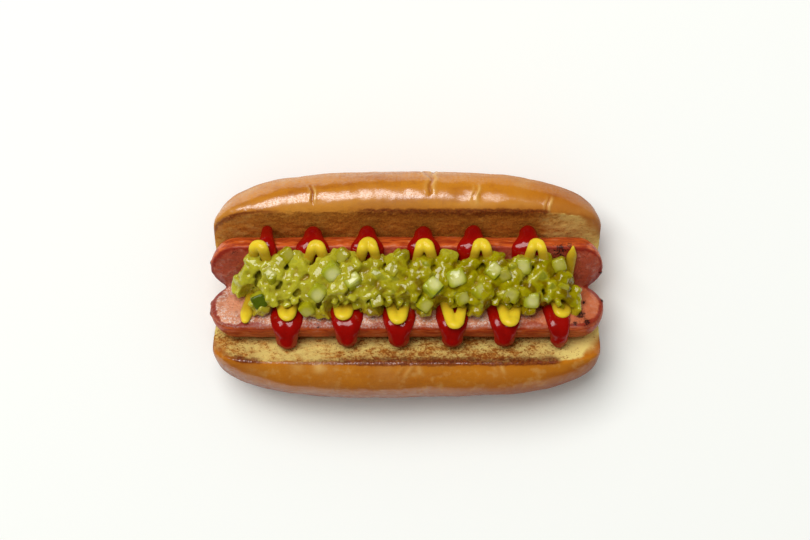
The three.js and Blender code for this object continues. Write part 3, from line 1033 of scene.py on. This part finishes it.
def plan_of(sauce):
    """The zigzag seen from above, in millimetres from the groove's middle: round turns and straight legs."""
    radius = sauce["turn_radius"]
    ways = []
    for i, (x, reach) in enumerate(sauce["turns"]):
        side = math.copysign(1, reach)
        is_end = i in (0, len(sauce["turns"]) - 1)
        turn = np.radians([90] if is_end else [180, 150, 120, 90, 60, 30, 0])
        across = reach - side * radius * (1 - np.sin(turn))
        ways.append(np.column_stack([x + radius * np.cos(turn), across]))
    plan = [ways[0]]
    for last, way in zip(ways, ways[1:]):
        legs = np.linspace(0, 1, 12)[1:-1, None]
        plan += [last[-1] + (way[0] - last[-1]) * legs, way]
    return relaxed(densely(np.vstack(plan)), 3)


def relaxed(row, rounds):
    """A row of points or numbers, evened out between its two ends."""
    for _ in range(rounds):
        row = np.concatenate([row[:1], (row[:-2] + 2 * row[1:-1] + row[2:]) / 4, row[-1:]])
    return row


def densely(row):
    """A polyline with points a short step apart."""
    gone = np.concatenate([[0], np.cumsum(np.linalg.norm(np.diff(row, axis=0), axis=1))])
    at = np.linspace(0, gone[-1], int(gone[-1] / POINT_STEP))
    return np.column_stack([np.interp(at, gone, column) for column in row.T])


def uneven(count, *waves):
    """Widths around 1 for so many points. Each wave has a height and its turn from point to point."""
    return sum((height * np.sin(np.arange(count) * turn) for height, turn in waves), 1)


def laid(plan, sauce, frank, under=None):
    """Lays a strand's plan on what carries it: gives its middle line in space, and the way out from the
    slope there. Over the plan of another strand it rides high, and elsewhere it sinks to the meat."""
    lift = np.full(len(plan), sauce["lift"])
    brow = np.full(len(plan), sauce["brow"]["z"])
    if under is not None:
        apart = np.linalg.norm(plan[:, None] - under[None], axis=2).min(axis=1)
        sunk = relaxed(smooth(*SINKS, apart), 20) * (sauce["lift"] - LOW_LIFT)
        lift -= sunk
        brow -= sunk * BROW_SINKS
    out = np.abs(plan[:, 1])
    past_brow = np.maximum(0, out - sauce["brow"]["y"])
    fall, steep = sauce["brow"]["fall"], sauce["brow"]["steep"]
    bent = np.minimum(past_brow, steep / fall / 2)
    slope = math.tan(frank.tilt)
    inside = frank.crease_height / MM + (out + frank.web / MM) * slope + lift
    outside = brow - fall * bent**2 - steep * (past_brow - bent)
    height = relaxed(np.minimum(inside, outside), sauce["rounding"])
    rise = np.where(inside < outside, slope, -2 * fall * bent)
    rise = relaxed(rise * np.sign(plan[:, 1]), sauce["rounding"])
    way_out = np.column_stack([np.zeros(len(plan)), -rise, np.ones(len(plan))])
    line = np.column_stack([plan[:, 0], plan[:, 1] + GROOVE_Y / MM, height]) * MM
    return line, unit(way_out)


def mustard_line(frank):
    """The mustard's middle line, and the way out from what carries it."""
    return laid(plan_of(MUSTARD), MUSTARD, frank, plan_of(KETCHUP)[::2])


def unit(rows):
    """Rows of an array, each made one long."""
    return rows / np.linalg.norm(rows, axis=1, keepdims=True)


def strand(name, line, way_out, width, height, belly):
    """A strand of sauce: a ball drawn out along a line. width is a number for each point of the line."""
    around = 20
    cap = 5
    last = len(line) - 1
    tangent = unit(np.gradient(line, axis=0))
    across = unit(np.cross(tangent, way_out))
    up = np.cross(across, tangent)

    def place(v, u):
        ring = np.round(v * (last + 2 * cap)) - cap
        i = np.clip(ring, 0, last).astype(int)
        past = math.pi / 2 * (ring - i) / cap
        turn = 2 * math.pi * u
        wide = width[i][:, None]
        tall = np.where(np.sin(turn) > 0, height, belly) * np.sin(turn) * np.cos(past)
        tall = tall[:, None] * wide / width.max()
        round_end = (np.cos(past) * np.cos(turn))[:, None]
        middle = line[i] + tangent[i] * wide * np.sin(past)[:, None]
        return middle + across[i] * wide * round_end + up[i] * tall

    return pulled_ball(name, last + 2 * cap, around, place)


def build_ketchup(settings):
    """The ketchup: a flat, wet strand whose turns have run together into tongues."""
    sauce, frank = settings.sauce, settings.frankfurter
    belly = KETCHUP["belly"] * MM
    line, way_out = laid(plan_of(KETCHUP), KETCHUP, frank)
    out = np.abs(line[:, 1] - GROOVE_Y)
    width = sauce.ketchup_width * uneven(len(line), (0.07, 0.09))
    width = width * (1 + KETCHUP_SPREAD * smooth(*SPREADS, out))
    strands = [strand("ketchup_zigzag", line, way_out, width, sauce.ketchup_height, belly)]
    ends = {KETCHUP["turns"][0]: "first", KETCHUP["turns"][-1]: "last"}
    for x, reach in KETCHUP["turns"]:
        inner = reach - math.copysign(POOL, reach)
        plan = densely(np.array([(x, reach * POOL_TIP), (x, inner)]))
        line, way_out = laid(plan, KETCHUP, frank)
        tip, inside, full = POOL_SHAPE[ends.get((x, reach), "back" if reach > 0 else "front")]
        width = tip + (inside - tip) * smooth(0, full, np.linspace(0, 1, len(line)))
        height = sauce.ketchup_height * POOL_HEIGHT
        strands.append(strand("pool", line, way_out, width * sauce.ketchup_width, height, belly))
    piece = join("ketchup_zigzag", strands)
    material = sauce_finish("tomato_ketchup", sauce.ketchup, 0.25, 0.9)
    finish_sauce(piece, KETCHUP, 21, material, "ketchup")


def build_mustard(settings):
    """The mustard: a round bead that begins with a drop and ends in a point."""
    sauce, frank = settings.sauce, settings.frankfurter
    line, way_out = mustard_line(frank)
    count = len(line)
    gone = np.linspace(0, 1, count)
    drop = relaxed(np.interp(gone * count * POINT_STEP, *zip(*DROP)), 4)
    tip = TIP_WIDTH + (1 - TIP_WIDTH) * smooth(*TIP, gone)
    width = sauce.mustard_width * uneven(count, (0.07, 0.13), (0.04, 0.041)) * drop * tip
    piece = strand("mustard_zigzag", line, way_out, width, sauce.mustard_height, MUSTARD["belly"] * MM)
    material = sauce_finish("yellow_mustard", sauce.mustard, 0.4, 0.35, settings.relish.syrup)
    finish_sauce(piece, MUSTARD, 3, material, "mustard")


def finish_sauce(piece, sauce, smoothing, material, name):
    """Closes a sauce's strands to one mesh, and dresses it. name: of its solid."""
    grid_over(piece, SAUCE_GRID, smoothing)
    roughen(piece, sauce["relief"])
    note(piece, upward=normals(piece)[:, 2])
    dress(piece, material, name)


def sauce_finish(name, shade, roughness, coat, syrup=None):
    """A smooth wet sauce, darker in soft patches and towards the back, where the bun's back half shades it:
    painted shade there. syrup: what stains it beside the relish.
    """
    finish = Finish(
        name,
        IOR=1.4,
        Coat_Roughness=0.06 + roughness * 0.3,
        Specular_IOR_Level=0.05,
        Subsurface_Weight=0.15,
        Subsurface_Radius=(1.0, 0.4, 0.1),
        Subsurface_Scale=1.0 * MM,
    )
    broad = finish.noise(5 * MM, 2)
    grain = finish.noise(0.7 * MM, 3)
    # deep: a darker copy of the sauce, used for soft patches of tone and for painted shade at the back.
    deep = tuple(c * 0.7 for c in shade)
    _, y, _ = finish.axes()
    near_heap = finish.step(13.2 * MM, 9.5 * MM, abs(y - GROOVE_Y - 2.5 * MM))
    facing = finish.step(0.15, 0.7, finish.number("upward"))
    surface = finish.layered(
        shade,
        (finish.step(0.45, 0.7, broad) * 0.5, deep),
        # Darker past the frankfurter's back edge, where the bun's back half shades it: painted shade.
        (finish.step(17 * MM, 20.5 * MM, y) * 0.9, deep),
        (near_heap * 0.5, syrup or shade),
    )
    finish.set(
        Base_Color=surface,
        Roughness=roughness + broad * 0.06,
        Coat_Weight=facing * coat,
        Normal=finish.bump(grain * 0.5 + broad * 0.5, 0.12 * MM),
    )
    return finish.material


# ---- Relish ----
HEAP_MIDDLE = (0.4 * MM, 1.2 * MM)
HEAP_POWER = {"along": 3.2, "across": 2.6}
HEAP_SEAT = 1.0 * MM  # height of the heap's underside over the cut faces
WAVES = ((0.7 * MM, 190, 0, 0.7), (0.5 * MM, 430, -310, 0))  # height, turns along and across, start
GOLDEN = 1.324717957244746  # its powers spread points evenly over a plane

# How far the heap's body stays in from the heap's ends, its sides and its surface.
CORE_IN = {"ends": 2 * MM, "sides": 2.2 * MM, "surface": 0.7 * MM}

# Small pieces. Shares are of a piece's length, which is also its longest side.
BEVEL = {"bit": 0.22, "die": 0.19}
LEAN = {"bit": 0.6, "die": 0.5}  # the furthest that a piece leans, in radians
BIT_SIDES = ((0.6, 1), (0.4, 0.7))  # range of the shares across and up
BIT_HEIGHT = (-0.28, -0.02)  # range of its middle's height over the heap, as a share
BIT_CLEARS = (0.34, 0.9 * MM)  # it keeps this share and this distance off sauce that shows
DROP_CORNER = (-60 * MM, -4 * MM)  # past both, the heap makes room for the mustard's drop
HEAP_RELIEF = (("", 3, 0.3), ("", 1.6, 0.3))

# Sauce shows where it is further out from the groove than this, to the front and to the back, in
# millimetres. At each end of the bun, past the first number, it shows from the second on.
CLEARLY = (9.4, 14.2)
SHOWS_AT = {"first": (-59, 3), "last": (61, 8)}

# How the heap is pressed down to each sauce: where that shows, how far to its sides, and how deep.
CARVED = {"mustard": ((7.6, 13.2), 1.8 * MM, 0.6 * MM), "ketchup": ((8, 14), 2 * MM, 0.2 * MM)}
CARVE_SLOPE = 3  # of the rise past those sides
CARVE_END = 3  # how many times as far the rise reaches

# Small pieces that lap over the front arms, between these distances out from the groove. They lie on a
# slope that starts at the last distance, at the arms' height between the distances for its edge.
LAPPING = {"between": (4, 7.7), "edge": (7.2, 8), "starts": 7.8 * MM, "slope": 2}
LAPPING_SIZE = (0.75, 1.15)  # range, as a share of the smallest piece
LAPPING_SIDES = ((0.6, 1), (0.5, 0.8))

# Dice. The sides of the block that they're copied from are one long.
DIE_SETTING = 6 * MM  # the setting for which the sizes below hold
DIE_SIDES = ((0.85, 1), (0.7, 0.85))
DIE_HEIGHT = (-0.12, 0.02)
DIE_RIND = {"side": -0.34, "top": 0.32}  # from here out is rind, where a die has it on that face
DIE_MIDDLE = (0.08, -0.1)  # of the pale flesh
DIE_EDGE = (0.16, 0.5)  # away from that, where the darker edge of the flesh begins and is full
DIE_RELIEF = (("", 2.5, 0.5),)

# The dice that show. Each row says how far along and out from the middle of the base it lies and how large
# it is, in millimetres, which face has dark rind, 1 for a side and 2 for the top, and how pale its flesh is.
DICE = [
    (-29.2, 5.2, 6.9, 0, 1.0),
    (-21.2, 1.8, 6.6, 0, 0.9),
    (-34.2, -2.8, 6.6, 0, 0.75),
    (-51.6, 3.6, 5.6, 0, 0.5),
    (9.8, -1.1, 6.6, 1, 1.0),
    (18.6, 2.8, 7.2, 0, 0.85),
    (33.0, 4.8, 6.0, 1, 0.7),
    (44.2, 7.1, 6.4, 0, 0.7),
    (47.4, -5.8, 6.4, 0, 0.8),
    (-56.6, -6.2, 6.2, 2, 0.3),
    (-38.4, -9.0, 5.6, 1, 0.3),
    (39.8, -3.9, 5.6, 0, 0.35),
    (27.8, -2.8, 5.4, 0, 0.5),
    (20.8, -5.2, 5.2, 0, 0.35),
    (6.4, -7.6, 5.6, 1, 0.35),
    (36.8, 3.8, 5.2, 1, 0.2),
    (-11.8, -6.0, 5.2, 1, 0.15),
    (58.0, 7.5, 5.4, 0, 0.3),
    (59.0, -1.2, 5.2, 0, 0.2),
    (-6.0, 5.6, 5.2, 0, 0.15),
    (-46.0, 11.0, 5.6, 0, 0.15),
    (-25.0, 11.0, 5.8, 0, 0.15),
    (-3.0, 10.6, 5.0, 0, 0.1),
]


def heap_shore(y, frank):
    """Height of the heap's underside at y, measured from the groove's middle."""
    return frank.crease_height + (np.abs(y) + frank.web) * math.tan(frank.tilt) + HEAP_SEAT


def heap_top(x, y, relish, frank):
    """The surface of the heap: how high it is over the point x, y."""
    u = np.abs(x - HEAP_MIDDLE[0]) / (relish.length / 2)
    v = np.abs(y - GROOVE_Y - HEAP_MIDDLE[1]) / relish.half_width
    shape = taper(u, 1, HEAP_POWER["along"]) * taper(v, 1, HEAP_POWER["across"])
    waves = sum(high * np.sin(along * x + across * y + start) for high, along, across, start in WAVES)
    shore = heap_shore(y - GROOVE_Y, frank)
    return shore + (relish.crest + waves - shore) * shape


def heap_core(relish, frank):
    """The body of the heap: pickle and syrup up to a little under the surface."""
    half_length = relish.length / 2 - CORE_IN["ends"]
    half_width = relish.half_width - CORE_IN["sides"]

    def place(v, u):
        along = half_length * np.cos(math.pi * v)
        open_here = taper(along, half_length, HEAP_POWER["along"])
        turn = 2 * math.pi * u
        x = HEAP_MIDDLE[0] + along
        y = GROOVE_Y + HEAP_MIDDLE[1] + half_width * open_here * np.cos(turn)
        shore = heap_shore(y - GROOVE_Y, frank)
        deep = heap_top(x, y, relish, frank) - CORE_IN["surface"] - shore
        over = deep * open_here * np.sin(turn)
        return np.column_stack([x, y, shore + np.maximum(0, over)])

    return pulled_ball("relish_body", 90, 40, place)


def cut_piece(name):
    """A small block of pickle, one across, cut a little out of square, with its edges softened."""
    bpy.ops.object.select_all(action="DESELECT")
    bpy.ops.mesh.primitive_cube_add(size=1)
    block = added(name)
    edit(block, lambda co: co[:, 2] > 0)
    bpy.ops.transform.resize(value=(0.9, 0.94, 1), center_override=(0, 0, 0))
    bpy.ops.transform.translate(value=(0.05, -0.03, 0))
    bpy.ops.mesh.select_all(action="SELECT")
    bpy.ops.mesh.bevel(offset=BEVEL[name], segments=2, affect="EDGES")
    bpy.ops.object.mode_set(mode="OBJECT")
    return block


def scattered(name, block, places):
    """Copies of a block in one mesh. places has the middle, the turn and the three sides of each."""
    co = points(block)
    faces = [list(p.vertices) for p in block.data.polygons]
    turned = [(co * sides) @ np.array(turn.to_matrix()).T + middle for middle, turn, sides in places]
    mesh = bpy.data.meshes.new(name)
    rings = [[v + i * len(co) for v in face] for i in range(len(places)) for face in faces]
    mesh.from_pydata(np.vstack(turned).tolist(), [], rings)
    piece = bpy.data.objects.new(name, mesh)
    bpy.context.scene.collection.objects.link(piece)
    bpy.data.objects.remove(block)
    return piece


def block_sides(draw, side, across, up):
    """The three sides of a piece, with the shorter two drawn from ranges of shares of the first."""
    return np.array([side, side * draw.uniform(*across), side * draw.uniform(*up)])


def any_turn(draw, lean):
    """A random turn that leans at most so far, in radians."""
    return Euler((draw.uniform(-lean, lean), draw.uniform(-lean, lean), draw.uniform(0, math.pi)))


def carve(piece, line, reach, depth):
    """Presses the heap down to a line of sauce that shows, and lets it rise again past its sides."""
    co = points(piece)
    for _ in range(2):
        apart, floor = np.full((2, len(co)), 1e3)
        for x, y, z in line:
            here = np.hypot(co[:, 0] - x, co[:, 1] - y)
            floor = np.where(here < apart, z, floor)
            apart = np.minimum(apart, here)
        limit = floor - depth + np.maximum(0, apart - reach) * CARVE_SLOPE
        co[:, 2] = np.where(apart < reach * CARVE_END, np.minimum(co[:, 2], limit), co[:, 2])
    move_points(piece, co)


def bit_places(relish, frank, keep_clear):
    """Where the small pieces lie: spread evenly over the heap, and clear of the sauce that shows."""
    draw = random.Random(relish.seed)
    share, more = BIT_CLEARS
    places = []
    for i in range(relish.count):
        u = i / GOLDEN % 1
        v = i / GOLDEN**2 % 1
        x = HEAP_MIDDLE[0] + (u - 0.5) * (relish.length - relish.small)
        y = GROOVE_Y + HEAP_MIDDLE[1] + (v - 0.5) * (2 * relish.half_width - relish.small)
        side = draw.uniform(relish.small, relish.large)
        sides = block_sides(draw, side, *BIT_SIDES)
        z = heap_top(x, y, relish, frank) + side * draw.uniform(*BIT_HEIGHT)
        middle = np.array([x, y, z])
        turn = any_turn(draw, LEAN["bit"])
        at_drop = x < DROP_CORNER[0] and y < DROP_CORNER[1]
        clear = np.linalg.norm((keep_clear - middle)[:, :2], axis=1).min() > side * share + more
        if clear and not at_drop:
            places.append((middle, turn, sides))
    return places


def lapping_places(relish, frank, line):
    """Where small pieces lie on the slope down to the sauce's front arms."""
    draw = random.Random(relish.seed + 3)
    out = (GROOVE_Y - line[:, 1]) / MM
    low, high = LAPPING["edge"]
    edge = line[(out > low) & (out < high), 2].mean()
    low, high = LAPPING["between"]
    places = []
    for x, y, _ in line[(out > low) & (out < high)][::3]:
        side = relish.small * draw.uniform(*LAPPING_SIZE)
        sides = block_sides(draw, side, *LAPPING_SIDES)
        x += draw.uniform(-3, 3) * MM
        slope = edge + np.maximum(0, y - GROOVE_Y + LAPPING["starts"]) * LAPPING["slope"]
        z = min(heap_top(x, y, relish, frank), slope) + draw.uniform(0, 0.8) * MM
        places.append((np.array([x, y, z]), any_turn(draw, LEAN["bit"]), sides))
    return places


def build_relish(settings):
    """The heap of relish: its body and small pieces run together in syrup, with dice of pickle on it."""
    relish, frank = settings.relish, settings.frankfurter
    lines = {"mustard": mustard_line(frank)[0], "ketchup": laid(plan_of(KETCHUP), KETCHUP, frank)[0]}
    clear = np.vstack([shown(line, *CLEARLY) for line in lines.values()])
    places = bit_places(relish, frank, clear)
    lapping = lapping_places(relish, frank, lines["mustard"])
    bits = scattered("relish_bits", cut_piece("bit"), places)
    piece = join("relish_heap", [heap_core(relish, frank), bits])
    for name, (edges, reach, depth) in CARVED.items():
        carve(piece, shown(lines[name], *edges), reach, depth)
    piece = join("relish_heap", [piece, scattered("relish_bits", cut_piece("bit"), lapping)])
    grid_over(piece, relish.voxel, 8)
    drop_specks(piece)
    roughen(piece, HEAP_RELIEF)
    note_pieces(piece, places + lapping, random.Random(relish.seed + 1))
    dress(piece, relish_finish(relish), "relish")
    build_dice(relish, frank)


def shown(line, front, back):
    """Every second of the points where sauce lies past the heap's front or back edge, in millimetres."""
    x = line[:, 0] / MM
    out = (line[:, 1] - GROOVE_Y) / MM
    first, front_there = SHOWS_AT["first"]
    last, back_there = SHOWS_AT["last"]
    at_front = out < -np.where(x < first, front_there, front)
    at_back = out > np.where(x > last, back_there, back)
    return line[at_front | at_back][::2]


def note_pieces(piece, places, draw):
    """Keeps for each vertex the tint of the small piece that is nearest, and how far it stands out."""
    tree = kdtree.KDTree(len(places))
    for i, (middle, _, _) in enumerate(places):
        tree.insert(middle, i)
    tree.balance()
    tints = [draw.random() for _ in places]
    co = points(piece)
    nearest = np.array([tints[tree.find(Vector(p))[1]] for p in co])
    note(piece, tint=softened(piece, nearest, 6))
    out = normals(piece)
    modify(piece, "SMOOTH", factor=0.5, iterations=24)
    stands_out = ((co - points(piece)) * out).sum(axis=1) / MM
    move_points(piece, co)
    note(piece, crest=stands_out)


def build_dice(relish, frank):
    """The dice of pickle that lie on the heap, some with their rind."""
    draw = random.Random(relish.seed + 2)
    places = []
    for x, y, side, *_ in DICE:
        side *= MM * relish.dice / DIE_SETTING
        x, y = x * MM, y * MM
        z = heap_top(x, y, relish, frank) + side * draw.uniform(*DIE_HEIGHT)
        sides = block_sides(draw, side, *DIE_SIDES)
        places.append((np.array([x, y, z]), any_turn(draw, LEAN["die"]), sides))
    block = cut_piece("die")
    edit(block, lambda co: True)
    bpy.ops.mesh.subdivide(number_cuts=3)
    bpy.ops.object.mode_set(mode="OBJECT")
    x, y, z = points(block).T
    rinds = {0: 0 * x, 1: x < DIE_RIND["side"], 2: z > DIE_RIND["top"]}
    edges = smooth(*DIE_EDGE, np.maximum(np.hypot(x - DIE_MIDDLE[0], y - DIE_MIDDLE[1]), -z))
    piece = scattered("relish_dice", block, places)
    note(
        piece,
        rind=np.concatenate([rinds[kind] for *_, kind, _ in DICE]),
        edge=np.tile(edges, len(DICE)),
        tint=np.repeat([paleness for *_, paleness in DICE], len(x)),
    )
    modify(piece, "SUBSURF", levels=1, render_levels=1)
    roughen(piece, DIE_RELIEF)
    dress(piece, dice_finish(relish))


def pickle_base(name):
    """What both kinds of pickle share: wet, and letting some light through."""
    return Finish(
        name,
        IOR=1.4,
        Coat_Weight=1.0,
        Coat_Roughness=0.03,
        Specular_IOR_Level=0.1,
        Subsurface_Weight=0.4,
        Subsurface_Radius=(0.9, 1.0, 0.2),
        Subsurface_Scale=2.0 * MM,
    )


def relish_finish(relish):
    """Chopped pickle in syrup: each piece its own green; darker in the hollows between pieces, partly syrup
    and partly painted shade, and paler on the raised crests, painted light.
    """
    finish = pickle_base("pickle_relish")
    x, y, _ = finish.axes()
    tint, crest = map(finish.number, ("tint", "crest"))
    grain = finish.noise(1.2 * MM, 3)
    fine = finish.noise(0.6 * MM, 2)
    # low: the hollows between pieces, partly syrup and partly painted shade, and the heap's front edge, where
    # syrup runs over the mustard.
    low = finish.step(0.05, -0.4, crest) + finish.step(-8 * MM, -11 * MM, y) * 0.5
    shade = finish.layered(
        relish.olive,
        (finish.step(0.0, 0.4, tint), relish.green),
        (finish.step(0.6, 1.0, tint) * 0.6, relish.pale),
        (finish.step(0.86, 0.95, tint) * 0.5, relish.rind),
        # Paler towards the left end, the lamp's side: partly tone, partly painted light.
        (finish.step(20 * MM, -55 * MM, x) * 0.6, relish.pale),
        (low * 0.7, relish.syrup),
        # Paler on the raised crests: painted light.
        (finish.step(0.1, 0.5, crest) * 0.35, relish.pale),
    )
    finish.set(
        Base_Color=shade,
        Roughness=0.1 + grain * 0.08,
        Normal=finish.bump(grain + fine * 0.35, 0.35 * MM),
    )
    return finish.material


def dice_finish(relish):
    """Pale flesh, greener at its edges and in some, with dark rind on one face of some."""
    finish = pickle_base("pickle_dice")
    tint, rind, edge = map(finish.number, ("tint", "rind", "edge"))
    patchy = finish.noise(2.0 * MM, 4)
    shade = finish.layered(
        relish.flesh,
        (edge, relish.edge),
        (finish.step(0.45, 0.8, patchy) * 0.4, relish.pale),
        ((1 - tint) * 0.95, relish.green),
        (finish.step(0.3, 0.7, rind), relish.rind),
    )
    finish.set(
        Base_Color=shade,
        Roughness=0.12 + patchy * 0.1,
        Normal=finish.bump(patchy, 0.2 * MM),
    )
    return finish.material


# ---- Studio ----
CAMERA_OFF = (-0.8 * MM, 5.6 * MM)  # where the camera stands over the floor
KEY_PLACE = Vector((-0.86, 1.3, 3.0))  # of the lamp, which faces the hot dog
KEY_SIZE = (2.4, 2.2)


def build_studio(settings):
    """The floor, the lights and the camera."""
    studio = settings.studio
    bpy.ops.object.select_all(action="DESELECT")
    bpy.ops.mesh.primitive_plane_add(size=studio.floor_width)
    floor = added("studio_floor")
    finish = Finish("pale_paper", Roughness=0.9, IOR=1.2)
    finish.set(Base_Color=studio.floor)
    floor.data.materials.append(finish.material)

    bpy.ops.object.light_add(type="AREA", location=KEY_PLACE)
    lamp = bpy.context.object
    lamp.data.shape = "RECTANGLE"
    lamp.data.size, lamp.data.size_y = KEY_SIZE
    lamp.data.energy = studio.key
    lamp.rotation_euler = KEY_PLACE.to_track_quat("Z", "Y").to_euler()

    world = bpy.data.worlds.new("studio_light")
    world.use_nodes = True
    world.node_tree.nodes["Background"].inputs["Color"].default_value = (*studio.glow, 1)
    world.node_tree.nodes["Background"].inputs["Strength"].default_value = studio.world
    world.cycles_visibility.glossy = False
    bpy.context.scene.world = world
    bpy.context.scene.view_settings.view_transform = "Standard"

    bpy.ops.object.camera_add(location=(*CAMERA_OFF, studio.camera_height), rotation=(0, 0, 0))
    camera = bpy.context.object
    camera.data.lens = studio.lens
    camera.data.clip_end = 10
    bpy.context.scene.camera = camera


# ---- Operators and panel ----
class HOTDOG_OT_bun(bpy.types.Operator):
    """Model the opened bun"""

    bl_idname = "hotdog.bun"
    bl_label = "Bun"

    def execute(self, context):
        build_bun(context.scene.hot_dog)
        return {"FINISHED"}


class HOTDOG_OT_frankfurter(bpy.types.Operator):
    """Model the split frankfurter"""

    bl_idname = "hotdog.frankfurter"
    bl_label = "Frankfurter"

    def execute(self, context):
        build_frankfurter(context.scene.hot_dog)
        return {"FINISHED"}


class HOTDOG_OT_sauces(bpy.types.Operator):
    """Model the ketchup and the mustard"""

    bl_idname = "hotdog.sauces"
    bl_label = "Ketchup and mustard"

    def execute(self, context):
        build_ketchup(context.scene.hot_dog)
        build_mustard(context.scene.hot_dog)
        return {"FINISHED"}


class HOTDOG_OT_relish(bpy.types.Operator):
    """Model the heap of relish and its dice"""

    bl_idname = "hotdog.relish"
    bl_label = "Relish"

    def execute(self, context):
        build_relish(context.scene.hot_dog)
        return {"FINISHED"}


class HOTDOG_OT_studio(bpy.types.Operator):
    """Set up the floor, the lights and the camera"""

    bl_idname = "hotdog.studio"
    bl_label = "Studio"

    def execute(self, context):
        build_studio(context.scene.hot_dog)
        return {"FINISHED"}


class HOTDOG_PT_panel(bpy.types.Panel):
    """The hot dog's pieces and settings in the 3D view's sidebar"""

    bl_idname = "HOTDOG_PT_panel"
    bl_label = "Hot dog"
    bl_space_type = "VIEW_3D"
    bl_region_type = "UI"
    bl_category = "Hot dog"

    def draw(self, context):
        hot_dog = context.scene.hot_dog
        groups = {
            "bun": HOTDOG_OT_bun,
            "frankfurter": HOTDOG_OT_frankfurter,
            "sauce": HOTDOG_OT_sauces,
            "relish": HOTDOG_OT_relish,
            "studio": HOTDOG_OT_studio,
        }
        for name, operator in groups.items():
            box = self.layout.box()
            box.operator(operator.bl_idname)
            settings = getattr(hot_dog, name)
            for key in settings.__annotations__:
                box.prop(settings, key)


CLASSES = (
    BunSettings,
    FrankfurterSettings,
    SauceSettings,
    RelishSettings,
    StudioSettings,
    HotDogSettings,
    HOTDOG_OT_bun,
    HOTDOG_OT_frankfurter,
    HOTDOG_OT_sauces,
    HOTDOG_OT_relish,
    HOTDOG_OT_studio,
    HOTDOG_PT_panel,
)


def register():
    """Registers the classes and hangs the settings on the scene."""
    for cls in CLASSES:
        bpy.utils.register_class(cls)
    bpy.types.Scene.hot_dog = PointerProperty(type=HotDogSettings)


def unregister():
    """Takes the settings and the classes away again."""
    del bpy.types.Scene.hot_dog
    for cls in reversed(CLASSES):
        bpy.utils.unregister_class(cls)


def main():
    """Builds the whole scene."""
    register()
    bpy.ops.hotdog.studio()
    bpy.ops.hotdog.bun()
    bpy.ops.hotdog.frankfurter()
    bpy.ops.hotdog.sauces()
    bpy.ops.hotdog.relish()


if __name__ == "__main__":
    main()
